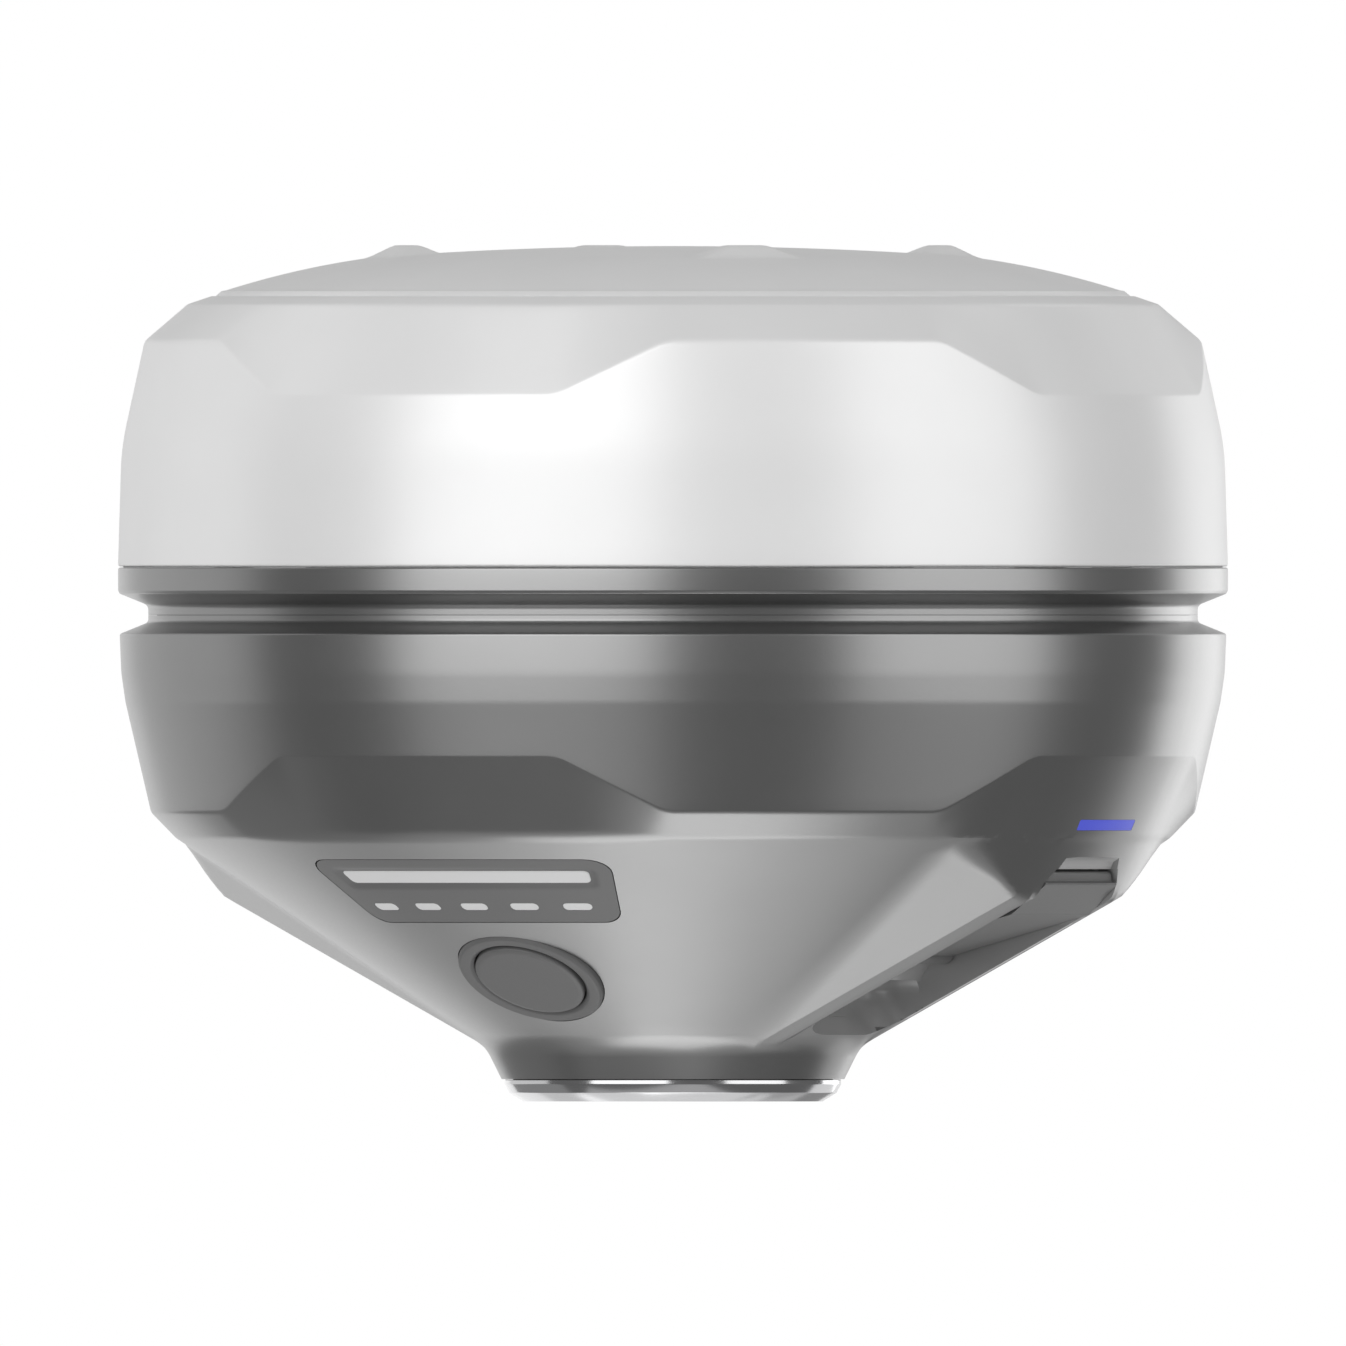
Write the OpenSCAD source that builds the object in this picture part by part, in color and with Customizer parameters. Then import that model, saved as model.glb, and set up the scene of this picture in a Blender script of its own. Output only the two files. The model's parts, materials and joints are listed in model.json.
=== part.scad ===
// Integrated GNSS survey receiver: domed antenna housing on a faceted conical body,
// with a 5/8 inch pole bushing below, two side ports and a front light panel.
// Millimetres, +Z up, front panel towards -Y, origin at the middle of the bushing's face.

/* [Body] */
// Largest diameter of the receiver
body_d = 134; // [130:1:138]
// Height of the parting groove's middle
groove_z = 58.8; // [58:0.1:59.6]
// Depth of the parting groove
groove_depth = 3.8; // [2.5:0.1:4.2]
// Height of the seam between the band and the upper shell
seam_z = 64.5; // [64:0.1:65]
// Wall thickness of the lower housing, square to the wall
wall = 2.5; // [2:0.1:2.8]
// Half angle of the four flat sides at their widest straight edge
facet_flat = 17.25; // [14:0.25:19]
// Half angle at which the four flat sides run out
facet_end = 28.25; // [24:0.25:31]

/* [Pole mount] */
// Major diameter of the 5/8-11 pole thread
pole_thread_d = 15.88; // [14:0.01:17]
// Depth of the pole thread
pole_thread_depth = 16; // [12:0.5:17]
// Diameter of the steel shoulder ring
shoulder_d = 40.6; // [38:0.1:41]

/* [Front controls] */
// Travel of the power button
button_travel = 0.8; // [0.3:0.1:1]
// Radius of the power button's cap
button_r = 6.85; // [6:0.05:6.9]
// Half angle of the dark light panel
panel_half = 22.1; // [20:0.1:24]
// Number of status lights
status_lights = 5; // [3:1:5]

/* [Side doors] */
// Angle that the closed door's underside rises outwards
door_tilt = 13.3; // [12:0.1:14.5]
// Thickness of a door
door_t = 2; // [1.6:0.1:2.1]
// Half width of a door
door_half = 9.7; // [9.4:0.1:9.75]
// Radius of a door's hinge pin
hinge_pin_r = 0.8; // [0.6:0.05:0.9]
// Radial clearance of the door on its hinge pin
hinge_gap = 0.05; // [0.02:0.01:0.08]

/* [Power] */
// Number of battery cells
cell_count = 4; // [2:2:4]
// Diameter of a battery cell
cell_d = 18.4; // [18:0.1:18.6]
// Length of a battery cell
cell_l = 65; // [60:1:66]

/* [Hidden] */
$fn = 96;
eps = 0.01;

// Colours
white_shell = "whitesmoke";
body_grey = "darkgray";
panel_grey = "dimgray";
lens_grey = "lightgray";
steel = "silver";
seal_black = "#222222";
board_green = "#1f5c3a";
brass_gold = "#c9a24a";

body_r = body_d / 2;

// Outlines of the outer skin as [radius, height], from the bushing up to the rim of the dome
cone_foot = [23.4, 7.38];
cone_top = [60, 31.8];
facet_low_z = 41.7;
shoulder_low_z = 35.2;
low_wall = [[body_r - 3.92, shoulder_low_z], [body_r - 0.9, 48.2], [body_r - 0.35, 51.8], [body_r - 0.2, 56.4]];
facet_high_z = 85.3;
shoulder_high_z = 91.8;
high_wall = [[body_r, 64.6], [body_r - 0.42, 79], [body_r - 3.2, shoulder_high_z]];
rim = [58.6, 96.25];
rim_inner = [55.5, 97.3];
groove_r = body_r - groove_depth;

// The line where the dome's skirt and the shell around it meet, from the top down
skirt_line = [[55.2, 96.6], [62.6, 85.3], [63.4, 80], [64, 66.5]];

// Dome: a flatter crown inside crown_r and a steeper fall outside it
crown_r = 36;
crown_z = 101.94;
dome_r = 54.3;
dome_t = 2.2;
function dome_z(r) = r <= crown_r
    ? crown_z + 1.33 * (1 - pow(r / crown_r, 2))
    : crown_z - 0.13 * (r - crown_r) - 0.0052 * pow(r - crown_r, 2);

// Angle between the cone's skin and the horizontal
cone_tilt = atan2(cone_top[1] - cone_foot[1], cone_top[0] - cone_foot[0]);
function cone_z(r) = cone_foot[1] + (r - cone_foot[0]) * tan(cone_tilt);
function cone_r(z) = cone_foot[0] + (z - cone_foot[1]) / tan(cone_tilt);
// Height of the inner face of the cone's wall
function floor_z(r) = cone_z(r) + wall / cos(cone_tilt);

function mix(a, b, t) = a + (b - a) * t;
function steps(a, b, n) = [for (i = [0 : n - 1]) mix(a, b, i / n)];
function wall_r(outline, z) = lookup(z, [for (p = outline) [p[1], p[0]]]);

// Angle from the nearest of the four flat sides, which face +X, +Y, -X and -Y
function off_side(a) = abs((a + 45) % 90 - 45);
// 0 on a flat side, 1 on the full round corner between two
function corner_share(a) = min(1, max(0, (off_side(a + 360) - facet_flat) / (facet_end - facet_flat)));

// Angles of the skin's columns: finer where the flat sides run out
quarter_angles = concat(
    steps(-facet_flat, facet_flat, 6),
    steps(facet_flat, facet_end, 4),
    steps(facet_end, 90 - facet_end, 6),
    steps(90 - facet_end, 90 - facet_flat, 4)
);
skin_angles = [for (q = [0 : 3]) for (a = quarter_angles) a + 90 * q];

// One column of the lower skin, bottom to top, as [radius, height]
function low_column(a) =
    let (edge_z = mix(facet_low_z, shoulder_low_z, corner_share(a)))
    concat(
        [[shoulder_d / 2 + 0.2, 2.7], [22.5, 6.45], cone_foot, cone_top],
        [for (t = [0 : 1 / 3 : 1]) let (z = mix(edge_z, low_wall[1][1], t)) [wall_r(low_wall, z), z]],
        [low_wall[2], low_wall[3], [groove_r + 0.5, groove_z - 0.6], [groove_r, groove_z - 0.1]]
    );

// One column of the upper skin, bottom to top
function high_column(a) =
    let (edge_z = mix(facet_high_z, shoulder_high_z, corner_share(a)))
    concat(
        [high_wall[0], high_wall[1]],
        [for (t = [0.5, 1]) let (z = mix(high_wall[1][1], edge_z, t)) [wall_r(high_wall, z), z]],
        [rim, rim_inner]
    );

// A closed solid through the columns, one column at each of the skin's angles
module skin_solid(columns) {
    n = len(columns);
    m = len(columns[0]);
    points = [
        for (j = [0 : m - 1]) for (i = [0 : n - 1])
            let (p = columns[i][j], a = skin_angles[i]) [p[0] * cos(a), p[0] * sin(a), p[1]]
    ];
    bottom = [for (i = [0 : n - 1]) i];
    top = [for (i = [n - 1 : -1 : 0]) (m - 1) * n + i];
    sides = [
        for (j = [0 : m - 2]) for (i = [0 : n - 1])
            let (k = (i + 1) % n, low = j * n, up = low + n)
            each [[low + i, up + i, up + k], [low + i, up + k, low + k]]
    ];
    polyhedron(points, concat([bottom, top], sides));
}

// Copies of the children around the axis
module around(count, start = 0) {
    for (i = [0 : count - 1]) rotate([0, 0, start + 360 * i / count]) children();
}

// A ring with a rectangular section
module ring(r_in, r_out, z0, z1) {
    rotate_extrude() translate([r_in, z0]) square([r_out - r_in, z1 - z0]);
}

// A strip that follows the cone's skin on the -Y side: its lower and upper height, its half angle,
// and how far it reaches outside and inside the skin
module cone_strip(z0, z1, half, out, inward) {
    out_v = out / cos(cone_tilt);
    in_v = inward / cos(cone_tilt);
    outline = [
        [cone_r(z0), z0 - out_v], [cone_r(z1), z1 - out_v],
        [cone_r(z1), z1 + in_v], [cone_r(z0), z0 + in_v]
    ];
    rotate([0, 0, -90 - half]) rotate_extrude(angle = 2 * half) polygon(outline);
}

// A round wire through a list of points
module wire(path, r) {
    n = len(path);
    sides = 8;
    function unit(v) = v / norm(v);
    function along(i) = unit(path[min(i + 1, n - 1)] - path[max(i - 1, 0)]);
    function across(i) = unit(cross(along(i), abs(along(i)[2]) > 0.9 ? [0, 1, 0] : [0, 0, 1]));
    points = [
        for (i = [0 : n - 1])
            let (u = across(i), v = cross(along(i), u))
            for (k = [0 : sides - 1]) path[i] + r * (cos(360 * k / sides) * u + sin(360 * k / sides) * v)
    ];
    start = [for (k = [sides - 1 : -1 : 0]) k];
    end = [for (k = [0 : sides - 1]) (n - 1) * sides + k];
    mantle = [
        for (i = [0 : n - 2]) for (k = [0 : sides - 1])
            let (m = (k + 1) % sides, a = i * sides, b = a + sides)
            each [[a + k, a + m, b + m], [a + k, b + m, b + k]]
    ];
    polyhedron(points, concat([start, end], mantle));
}

// A screw with a pan head, standing on its tip at z0 with its head's underside at z1
module screw(r, head_r, z0, z1) {
    head_h = head_r * 0.7;
    translate([0, 0, z0]) cylinder(r = r, h = z1 - z0 + eps);
    difference() {
        translate([0, 0, z1]) cylinder(r = head_r, h = head_h);
        translate([0, 0, z1 + head_h * 0.5]) cylinder(r = head_r * 0.5, h = head_h, $fn = 6);
    }
}

// ---- Upper shells ----

bump_count = 4;
// A bump's base and top as [inner radius, outer radius, half width, height]
bump_base = [30.2, 36.5, 5.7, 100.5];
bump_top = [32.3, 34.3, 2.4, 103.4];

module top_bump() {
    hull() {
        for (p = [bump_base, bump_top])
            translate([p[0], -p[2], p[3] - 0.4]) cube([p[1] - p[0], 2 * p[2], 0.4]);
    }
}

module radome() {
    crown = [for (r = [0 : 6 : crown_r]) [r, dome_z(r)]];
    fall = [for (t = [0.25 : 0.25 : 1]) let (r = mix(crown_r, dome_r, t)) [r, dome_z(r)]];
    skirt_in = [for (i = [len(skirt_line) - 1 : -1 : 0]) skirt_line[i] - [2, 0]];
    under = [for (r = [48, crown_r, 18, 0]) [r, dome_z(r) - dome_t]];
    color(white_shell) {
        rotate_extrude() polygon(concat(crown, fall, [[55.2, rim_inner[1]]], skirt_line, skirt_in, under));
        around(bump_count, 45) top_bump();
    }
}

module shock_bumper() {
    color(white_shell) difference() {
        skin_solid([for (a = skin_angles) high_column(a)]);
        rotate_extrude() polygon(concat(
            [[0, 110], [55.2, 110]], skirt_line, [[64, 60], [0, 60]]
        ));
    }
}

// ---- Middle ring ----

ring_screws = 8;
ring_screw_r = 59.6;
ring_screw_start = 22.5;
flange_z = 61.3;

module middle_ring() {
    color(body_grey) difference() {
        rotate_extrude() polygon([
            [57.4, groove_z], [groove_r, groove_z], [groove_r + 0.5, groove_z + 0.7],
            [body_r - 0.2, flange_z], [body_r, flange_z + 0.2], [body_r, seam_z - 0.04],
            [62.2, seam_z - 0.04], [62.2, flange_z], [57.4, flange_z]
        ]);
        around(ring_screws, ring_screw_start)
            translate([ring_screw_r, 0, groove_z - 1]) cylinder(r = 1.6, h = 5);
    }
}

module housing_screws() {
    color(steel) around(ring_screws, ring_screw_start)
        translate([ring_screw_r, 0, 0]) screw(1.25, 2.1, 52, flange_z);
}

// Rectangular seal in the groove of the housing's upper edge
seal_in = 61.3;
seal_out = 62.3;
seal_z = groove_z - 1.1;

module housing_seal() {
    color(seal_black) ring(seal_in, seal_out, seal_z, groove_z);
}

// ---- Side ports: the +X one is the master, the -X one its mirror image ----

// The ridges beside a port run along this slanting plane
ridge_tip = [56.6, 24.69];
ridge_slope = 0.4966;
function ridge_z(x) = ridge_tip[1] - (ridge_tip[0] - x) * ridge_slope;
ridge_half = 10.15;
bevel_half = 12.07;
bevel_rise = 1.1;
facet_slope = 0.4853;
function facet_r(z) = low_wall[1][0] - 1.45 - facet_slope * (facet_low_z - z);

// Corners of one raised port housing, moved inwards by t for its hollow
function port_corners(t) =
    let (
        tip_r = facet_r(24.3) - t,
        top_r = facet_r(32) - t,
        foot_half = 16.2 - t,
        inner_x = 23.5
    )
    concat(
        [for (y = [-ridge_half : ridge_half / 2 : ridge_half])
            let (x = sqrt(tip_r * tip_r - y * y)) [x, y, ridge_z(x) + t]],
        [for (s = [-1, 1]) [tip_r - 0.9, s * (bevel_half - t), ridge_z(tip_r - 0.9) + bevel_rise + t]],
        [for (a = [-27.4 : 6.85 : 27.4]) [top_r * cos(a), (top_r - t) * sin(a), 32]],
        [for (s = [-1, 1]) each [
            [inner_x, s * (ridge_half - t), ridge_z(inner_x) + t],
            [inner_x, s * (bevel_half - t), ridge_z(inner_x) + bevel_rise + t],
            [inner_x - 0.6, s * foot_half, 10.5 + t],
            [inner_x, s * foot_half, 16],
            [50, s * 20, 34]
        ]]
    );

module port_hull(t) {
    corners = port_corners(t);
    hull() polyhedron(corners, [[for (i = [0 : len(corners) - 1]) i]]);
}

module both_sides() {
    children();
    mirror([1, 0, 0]) children();
}

// Local frame of a port: its x runs outwards along the closed door's underside, its z into the body
port_origin = [44, 0, 20.06];
module port_frame() {
    translate(port_origin) rotate([0, -door_tilt, 0]) children();
}
function port_point(x, z) = [
    port_origin[0] + x * cos(door_tilt) - z * sin(door_tilt),
    port_origin[2] + x * sin(door_tilt) + z * cos(door_tilt)
];

// Door hinge in the port's frame
hinge_local = [-12, 0.8];
hinge_xz = port_point(hinge_local[0], hinge_local[1]);
barrel_r = 1.5;
barrel_relief_r = 1.8;
pin_half = 11.6;
port_half = 10;
chamber = [-6.5, 7, 7.6, 10.5];
ceiling_t = 1.8;

// An outline in the XZ plane, made solid to both sides of it
module prism_y(half, outline) {
    rotate([90, 0, 0]) linear_extrude(height = 2 * half, center = true) polygon(outline);
}

// The walls around the port's recess and the chamber behind the door
module port_walls() {
    prism_y(12, [
        [19.3, 9.6], [24.6, 10.5], [54.8, ridge_z(54.8) + 1.8], [57, 30.4], [58, 33.4], [53.5, 32.4],
        port_point(9, 4.2), port_point(-10, 4.2), [29.5, 21], [27.5, 17.2], [19.3, 17.2]
    ]);
    port_frame()
        translate([chamber[0] - 1.8, -chamber[2] - 2, 2])
            cube([chamber[1] - chamber[0] + 3.6, 2 * chamber[2] + 4, chamber[3] + ceiling_t - 2]);
}

// Everything that is open in front of and behind a door
module port_opening() {
    land = door_t + 0.15;
    difference() {
        prism_y(port_half, [
            [19, 2], [51, 2], port_point(8, -1), port_point(8, land), port_point(-11, land),
            [30, 16.4], [29.6, 15.2], [19, 15.2]
        ]);
        translate([0, 0, 1]) cylinder(r1 = 28, r2 = 19.9, h = 15);
    }
    translate([hinge_xz[0], 0, hinge_xz[1]]) rotate([90, 0, 0])
        cylinder(r = barrel_relief_r, h = 2 * port_half, center = true);
    port_frame()
        translate([chamber[0], -chamber[2], 0])
            cube([chamber[1] - chamber[0], 2 * chamber[2], chamber[3]]);
    translate([hinge_xz[0], 0, hinge_xz[1]]) rotate([90, 0, 0])
        cylinder(r = hinge_pin_r, h = 2 * pin_half, center = true);
    tip_room();
    finger_scoop();
}

// Half widths of the door's outline at three heights: the flat underside, the crease above it, the lip
tip_heights = [21.5, 26.4, 27.8];
tip_halves = [door_half, 8.5, 6.9];
door_crease = port_point(8.85, 0);
door_corner = [57.1, 26.3];
door_inner = port_point(8, door_t);

// A prism along X whose outline, seen from outside, narrows upwards as the door does
module door_outline(gap) {
    right = [for (i = [0 : 2]) [tip_halves[i] + gap, tip_heights[i] + (i > 1 ? 2 * gap : 0)]];
    left = [for (i = [2 : -1 : 0]) [-right[i][0], right[i][1]]];
    foot = 5;
    translate([20, 0, 0]) rotate([90, 0, 90]) linear_extrude(height = 45)
        polygon(concat([[-right[0][0], foot], [right[0][0], foot]], right, left));
}

// Room for the door's upturned tip
module tip_room() {
    gap = 0.25;
    intersection() {
        prism_y(port_half, [
            port_point(6, -1), [62, 16], [62, tip_heights[2] + gap], [55.4 - gap, tip_heights[2] + gap],
            door_inner + [-gap, gap], port_point(6, door_t + gap)
        ]);
        door_outline(gap);
    }
}

// Hollow above the door for a finger nail: it narrows upwards and runs out at the flat side
module finger_scoop() {
    intersection() {
        prism_y(9, [[56.3, 26.5], [56.9, 28.1], [58.8, 29.5], [62, 29.5], [62, 26.5]]);
        translate([50, 0, 0]) rotate([90, 0, 90]) linear_extrude(height = 15)
            polygon([[-8.4, 26.4], [8.4, 26.4], [7.1, 28.1], [6.3, 29.5], [-6.3, 29.5], [-7.1, 28.1]]);
    }
}

// Frame-shaped seal on the inside of a door: a strip of the given margin around the chamber
module door_seal_shape(z0, z1, clearance = 0) {
    port_frame() difference() {
        translate([chamber[0] - 1.6 - clearance, -chamber[2] - 1.6 - clearance, z0])
            cube([chamber[1] - chamber[0] + 2.8 + 2 * clearance, 2 * (chamber[2] + 1.6 + clearance), z1 - z0]);
        translate([chamber[0] - 0.5 + clearance, -chamber[2] - 0.5 + clearance, z0 - 1])
            cube([chamber[1] - chamber[0] + 0.8 - 2 * clearance, 2 * (chamber[2] + 0.5 - clearance), z1 - z0 + 2]);
    }
}

seal_depth = 0.6;

module door_shape() {
    difference() {
        union() {
            intersection() {
                prism_y(door_half, [
                    port_point(hinge_local[0] + 0.4, 0), door_crease, door_corner, [56.4, 26.6],
                    [57, tip_heights[2]], [55.4, tip_heights[2]], door_inner,
                    port_point(hinge_local[0] + 0.4, door_t)
                ]);
                door_outline(0);
            }
            translate([hinge_xz[0], 0, hinge_xz[1]]) rotate([90, 0, 0])
                cylinder(r = barrel_r, h = 2 * door_half, center = true);
        }
        translate([hinge_xz[0], 0, hinge_xz[1]]) rotate([90, 0, 0])
            cylinder(r = hinge_pin_r + hinge_gap, h = 30, center = true);
        door_seal_shape(door_t - seal_depth, door_t + 2);
    }
}

module hinge_pin_shape() {
    translate([hinge_xz[0], 0, hinge_xz[1]]) rotate([90, 0, 0])
        cylinder(r = hinge_pin_r, h = 2 * pin_half, center = true);
}

module radio_door() {
    color(body_grey) door_shape();
}

module usb_door() {
    color(body_grey) mirror([1, 0, 0]) door_shape();
}

module radio_door_seal() {
    color(seal_black) door_seal_shape(door_t - seal_depth, door_t + 0.1);
}

module usb_door_seal() {
    color(seal_black) mirror([1, 0, 0]) door_seal_shape(door_t - seal_depth, door_t + 0.1);
}

module radio_hinge_pin() {
    color(steel) hinge_pin_shape();
}

module usb_hinge_pin() {
    color(steel) mirror([1, 0, 0]) hinge_pin_shape();
}

// TNC jack: thread, flange behind the chamber's ceiling, and a rear solder cup
radio_thread_r = 5.55;
radio_mouth = 3;
radio_rear = chamber[3] + ceiling_t;

module radio_connector() {
    color(brass_gold) port_frame() {
        difference() {
            translate([0, 0, radio_mouth]) cylinder(r = radio_thread_r, h = radio_rear + 3.2 - radio_mouth);
            translate([0, 0, radio_mouth - 1]) cylinder(r = 4.1, h = 8);
        }
        translate([0, 0, radio_mouth + 1]) cylinder(r = 0.7, h = 8);
        translate([0, 0, chamber[3] - 1.2]) cylinder(r = 6.4, h = 1.2);
    }
}

module radio_connector_nut() {
    color(steel) port_frame() difference() {
        translate([0, 0, radio_rear]) cylinder(r = 7.8, h = 2.2, $fn = 6);
        translate([0, 0, radio_rear - 1]) cylinder(r = radio_thread_r, h = 5);
    }
}

usb_x = 3;
sim_x = -3;
usb_size = [3.26, 8.94];
sim_size = [1.6, 13];
port_board_z = chamber[3] + ceiling_t;

// The two slots in the -X chamber's ceiling, and their connectors with no clearance
module usb_body(clearance, z0, z1) {
    translate([usb_x, 0, z0]) linear_extrude(height = z1 - z0) {
        square([usb_size[0] + 2 * clearance, usb_size[1] - usb_size[0] + 2 * clearance], center = true);
        for (s = [-1, 1]) translate([0, s * (usb_size[1] - usb_size[0]) / 2])
            circle(r = usb_size[0] / 2 + clearance, $fn = 32);
    }
}

module sim_body(clearance, z0, z1) {
    translate([sim_x - sim_size[0] / 2 - clearance, -sim_size[1] / 2 - clearance, z0])
        cube([sim_size[0] + 2 * clearance, sim_size[1] + 2 * clearance, z1 - z0]);
}

module usb_connector() {
    color(steel) mirror([1, 0, 0]) port_frame() {
        difference() {
            usb_body(0, 5, port_board_z);
            usb_body(-0.3, 4, port_board_z - 1);
        }
        translate([usb_x - 0.35, -3.3, 5.8]) cube([0.7, 6.6, port_board_z - 6.2]);
    }
}

module sim_socket() {
    color(steel) mirror([1, 0, 0]) port_frame() difference() {
        sim_body(0, 7.5, port_board_z);
        sim_body(-0.3, 6.5, port_board_z - 0.8);
    }
}

module port_board() {
    color(board_green) mirror([1, 0, 0]) port_frame()
        translate([-7.6, -9, port_board_z]) cube([15.2, 18, 1.2]);
}

// ---- Front button, in a frame whose z runs into the body, square to the cone's skin ----

button_centre_r = 34.5;
bezel_r = 9.1;
bezel_in = 7.05;
bezel_depth = 2.2;
button_boss_r = 11.2;
button_boss_in = 9.9;
button_boss_h = 8.6;

module button_frame() {
    translate([0, -button_centre_r, cone_z(button_centre_r)]) rotate([-cone_tilt, 0, 0]) children();
}

module button_bezel() {
    color(panel_grey) button_frame() difference() {
        translate([0, 0, -0.25]) cylinder(r = bezel_r, h = bezel_depth + 0.25);
        translate([0, 0, -1]) cylinder(r = bezel_in, h = 5);
    }
}

module power_button() {
    color(panel_grey) button_frame() {
        translate([0, 0, -0.5]) cylinder(r = button_r, h = 2);
        translate([0, 0, 1.2]) cylinder(r = 2, h = 2.1);
    }
}

// Silicone sheet that seals the button's hole: clamped outside, thin in the middle
module button_membrane() {
    color(seal_black) button_frame() {
        difference() {
            translate([0, 0, wall + 0.4]) cylinder(r = button_boss_in, h = 1.6);
            translate([0, 0, wall]) cylinder(r = bezel_in, h = 1.6 + 0.4 + 1);
        }
        translate([0, 0, 4.3]) cylinder(r = bezel_in + 1, h = 0.2);
    }
}

module button_switch() {
    color(seal_black) button_frame() {
        translate([-3, -3, 5.6]) cube([6, 6, button_boss_h - 5.6]);
        translate([0, 0, 4.6]) cylinder(r = 1.6, h = 1.1);
    }
}

module button_board() {
    color(board_green) button_frame()
        translate([0, 0, button_boss_h]) cylinder(r = button_boss_r, h = 1.2);
}

// ---- Front light panel ----

panel_z = [21.8, 29.15];
panel_t = 1;
bar_z = [26.4, 27.8];
bar_half = 18.5;
status_z = [23.1, 23.96];
status_pitch = 8.2;
status_half = 2.4;
light_t = 0.6;

module status_places() {
    for (i = [0 : status_lights - 1])
        rotate([0, 0, (i - (status_lights - 1) / 2) * status_pitch]) children();
}

module indicator_window() {
    color(panel_grey) difference() {
        cone_strip(panel_z[0], panel_z[1], panel_half, 0, panel_t);
        cone_strip(bar_z[0], bar_z[1], bar_half, 1, light_t);
        status_places() cone_strip(status_z[0], status_z[1], status_half, 1, light_t);
    }
}

module battery_light_bar() {
    color(lens_grey) cone_strip(bar_z[0], bar_z[1], bar_half, -0.1, light_t);
}

module status_light_lenses() {
    color(lens_grey) status_places() cone_strip(status_z[0], status_z[1], status_half, 0, light_t);
}

board_gap = 1.2;

module indicator_board() {
    depth = wall + board_gap;
    color(board_green) cone_strip(23, 30, 15, -depth, depth + 1);
}

module indicator_leds() {
    depth = wall + board_gap;
    color(lens_grey) {
        for (a = [-12 : 6 : 12]) rotate([0, 0, a])
            cone_strip(27.4, 28.4, 1, -(depth - 0.8), depth);
        for (a = [-12 : 6 : 12]) rotate([0, 0, a])
            cone_strip(24.4, 25.4, 1, -(depth - 0.8), depth);
    }
}

// Blue light pipe in the flat side above the radio port
radio_light_z = [32.73, 34];
radio_light_half = 6.25;

module radio_light_shape(gap) {
    rotate([0, 0, -radio_light_half]) rotate_extrude(angle = 2 * radio_light_half) polygon([
        [facet_r(radio_light_z[0]), radio_light_z[0]], [facet_r(radio_light_z[1]), radio_light_z[1]],
        [facet_r(radio_light_z[1]) - 3.4 - gap, radio_light_z[1]],
        [facet_r(radio_light_z[0]) - 3.4 - gap, radio_light_z[0]]
    ]);
}

module radio_light() {
    color("#5c60d0") radio_light_shape(0);
}

// ---- Lower housing ----

cavity_foot = 9;
boss_post_r = 3.5;
boss_post_ring = 54;
chassis_z = 57.2;

module housing_cavity() {
    foot_r = cone_r(cavity_foot - wall / cos(cone_tilt));
    rotate_extrude() polygon([
        [0, cavity_foot], [foot_r, cavity_foot], [57.6, floor_z(57.6)], [61.9, facet_low_z],
        [63.5, 48.2], [64, 51.8], [64, 54], [60.9, 56.2], [60.9, 60], [0, 60]
    ]);
}

// Four posts that stand on the sloping floor and carry the chassis plate
module chassis_posts() {
    intersection() {
        around(4, 45) translate([boss_post_ring, 0, cone_foot[1]])
            cylinder(r = boss_post_r, h = chassis_z - cone_foot[1]);
        rotate_extrude() polygon([
            [30, cone_z(30) + 1], [60, cone_z(60) + 1], [60, chassis_z], [30, chassis_z]
        ]);
    }
}

module lower_housing() {
    color(body_grey) difference() {
        union() {
            difference() {
                union() {
                    skin_solid([for (a = skin_angles) low_column(a)]);
                    both_sides() port_hull(0);
                }
                housing_cavity();
                both_sides() port_hull(wall);
            }
            both_sides() port_walls();
            around(ring_screws, ring_screw_start)
                translate([ring_screw_r, 0, 51]) cylinder(r = 3, h = groove_z - 0.1 - 51);
            chassis_posts();
            button_frame() translate([0, 0, 1]) cylinder(r = button_boss_r, h = button_boss_h - 1);
        }
        both_sides() port_opening();
        // Pole bushing: seat for its hub, bore for its shank and the four screw holes
        translate([0, 0, 0]) cylinder(r = hub_r, h = hub_z);
        translate([0, 0, 0]) cylinder(r = shank_r, h = 30);
        around(4, 45) translate([mount_screw_r, 0, 0]) cylinder(r = 1.7, h = 12);
        // Button: seat of the bezel, then the boss behind it
        button_frame() {
            translate([0, 0, -6]) cylinder(r = bezel_r, h = bezel_depth + 6);
            translate([0, 0, -6]) cylinder(r = bezel_in, h = 14);
            translate([0, 0, wall + 0.4]) cylinder(r = button_boss_in, h = 12);
        }
        // Light panel: shallow seat, and slots for the lights
        cone_strip(panel_z[0], panel_z[1], panel_half, 2, panel_t);
        cone_strip(26.6, 28.6, 15, 2, 5);
        cone_strip(23.4, 25.6, 15, 2, 5);
        radio_light_shape(2);
        // Chambers' ceilings
        port_frame() translate([0, 0, 5]) cylinder(r = radio_thread_r, h = 12);
        mirror([1, 0, 0]) port_frame() {
            usb_body(0.1, 5, port_board_z + 1);
            sim_body(0.1, 5, port_board_z + 1);
        }
        // Screw holes and the seal's groove
        around(ring_screws, ring_screw_start) translate([ring_screw_r, 0, 51.8]) cylinder(r = 1.25, h = 10);
        around(4, 45) translate([boss_post_ring, 0, 47]) cylinder(r = 1.25, h = 20);
        ring(seal_in, seal_out, seal_z, groove_z + 1);
    }
}

// ---- Pole bushing ----

hub_r = 17.5;
hub_z = 5.6;
shank_r = 10.5;
shank_top = 19;
mount_screw_r = 14;

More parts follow.
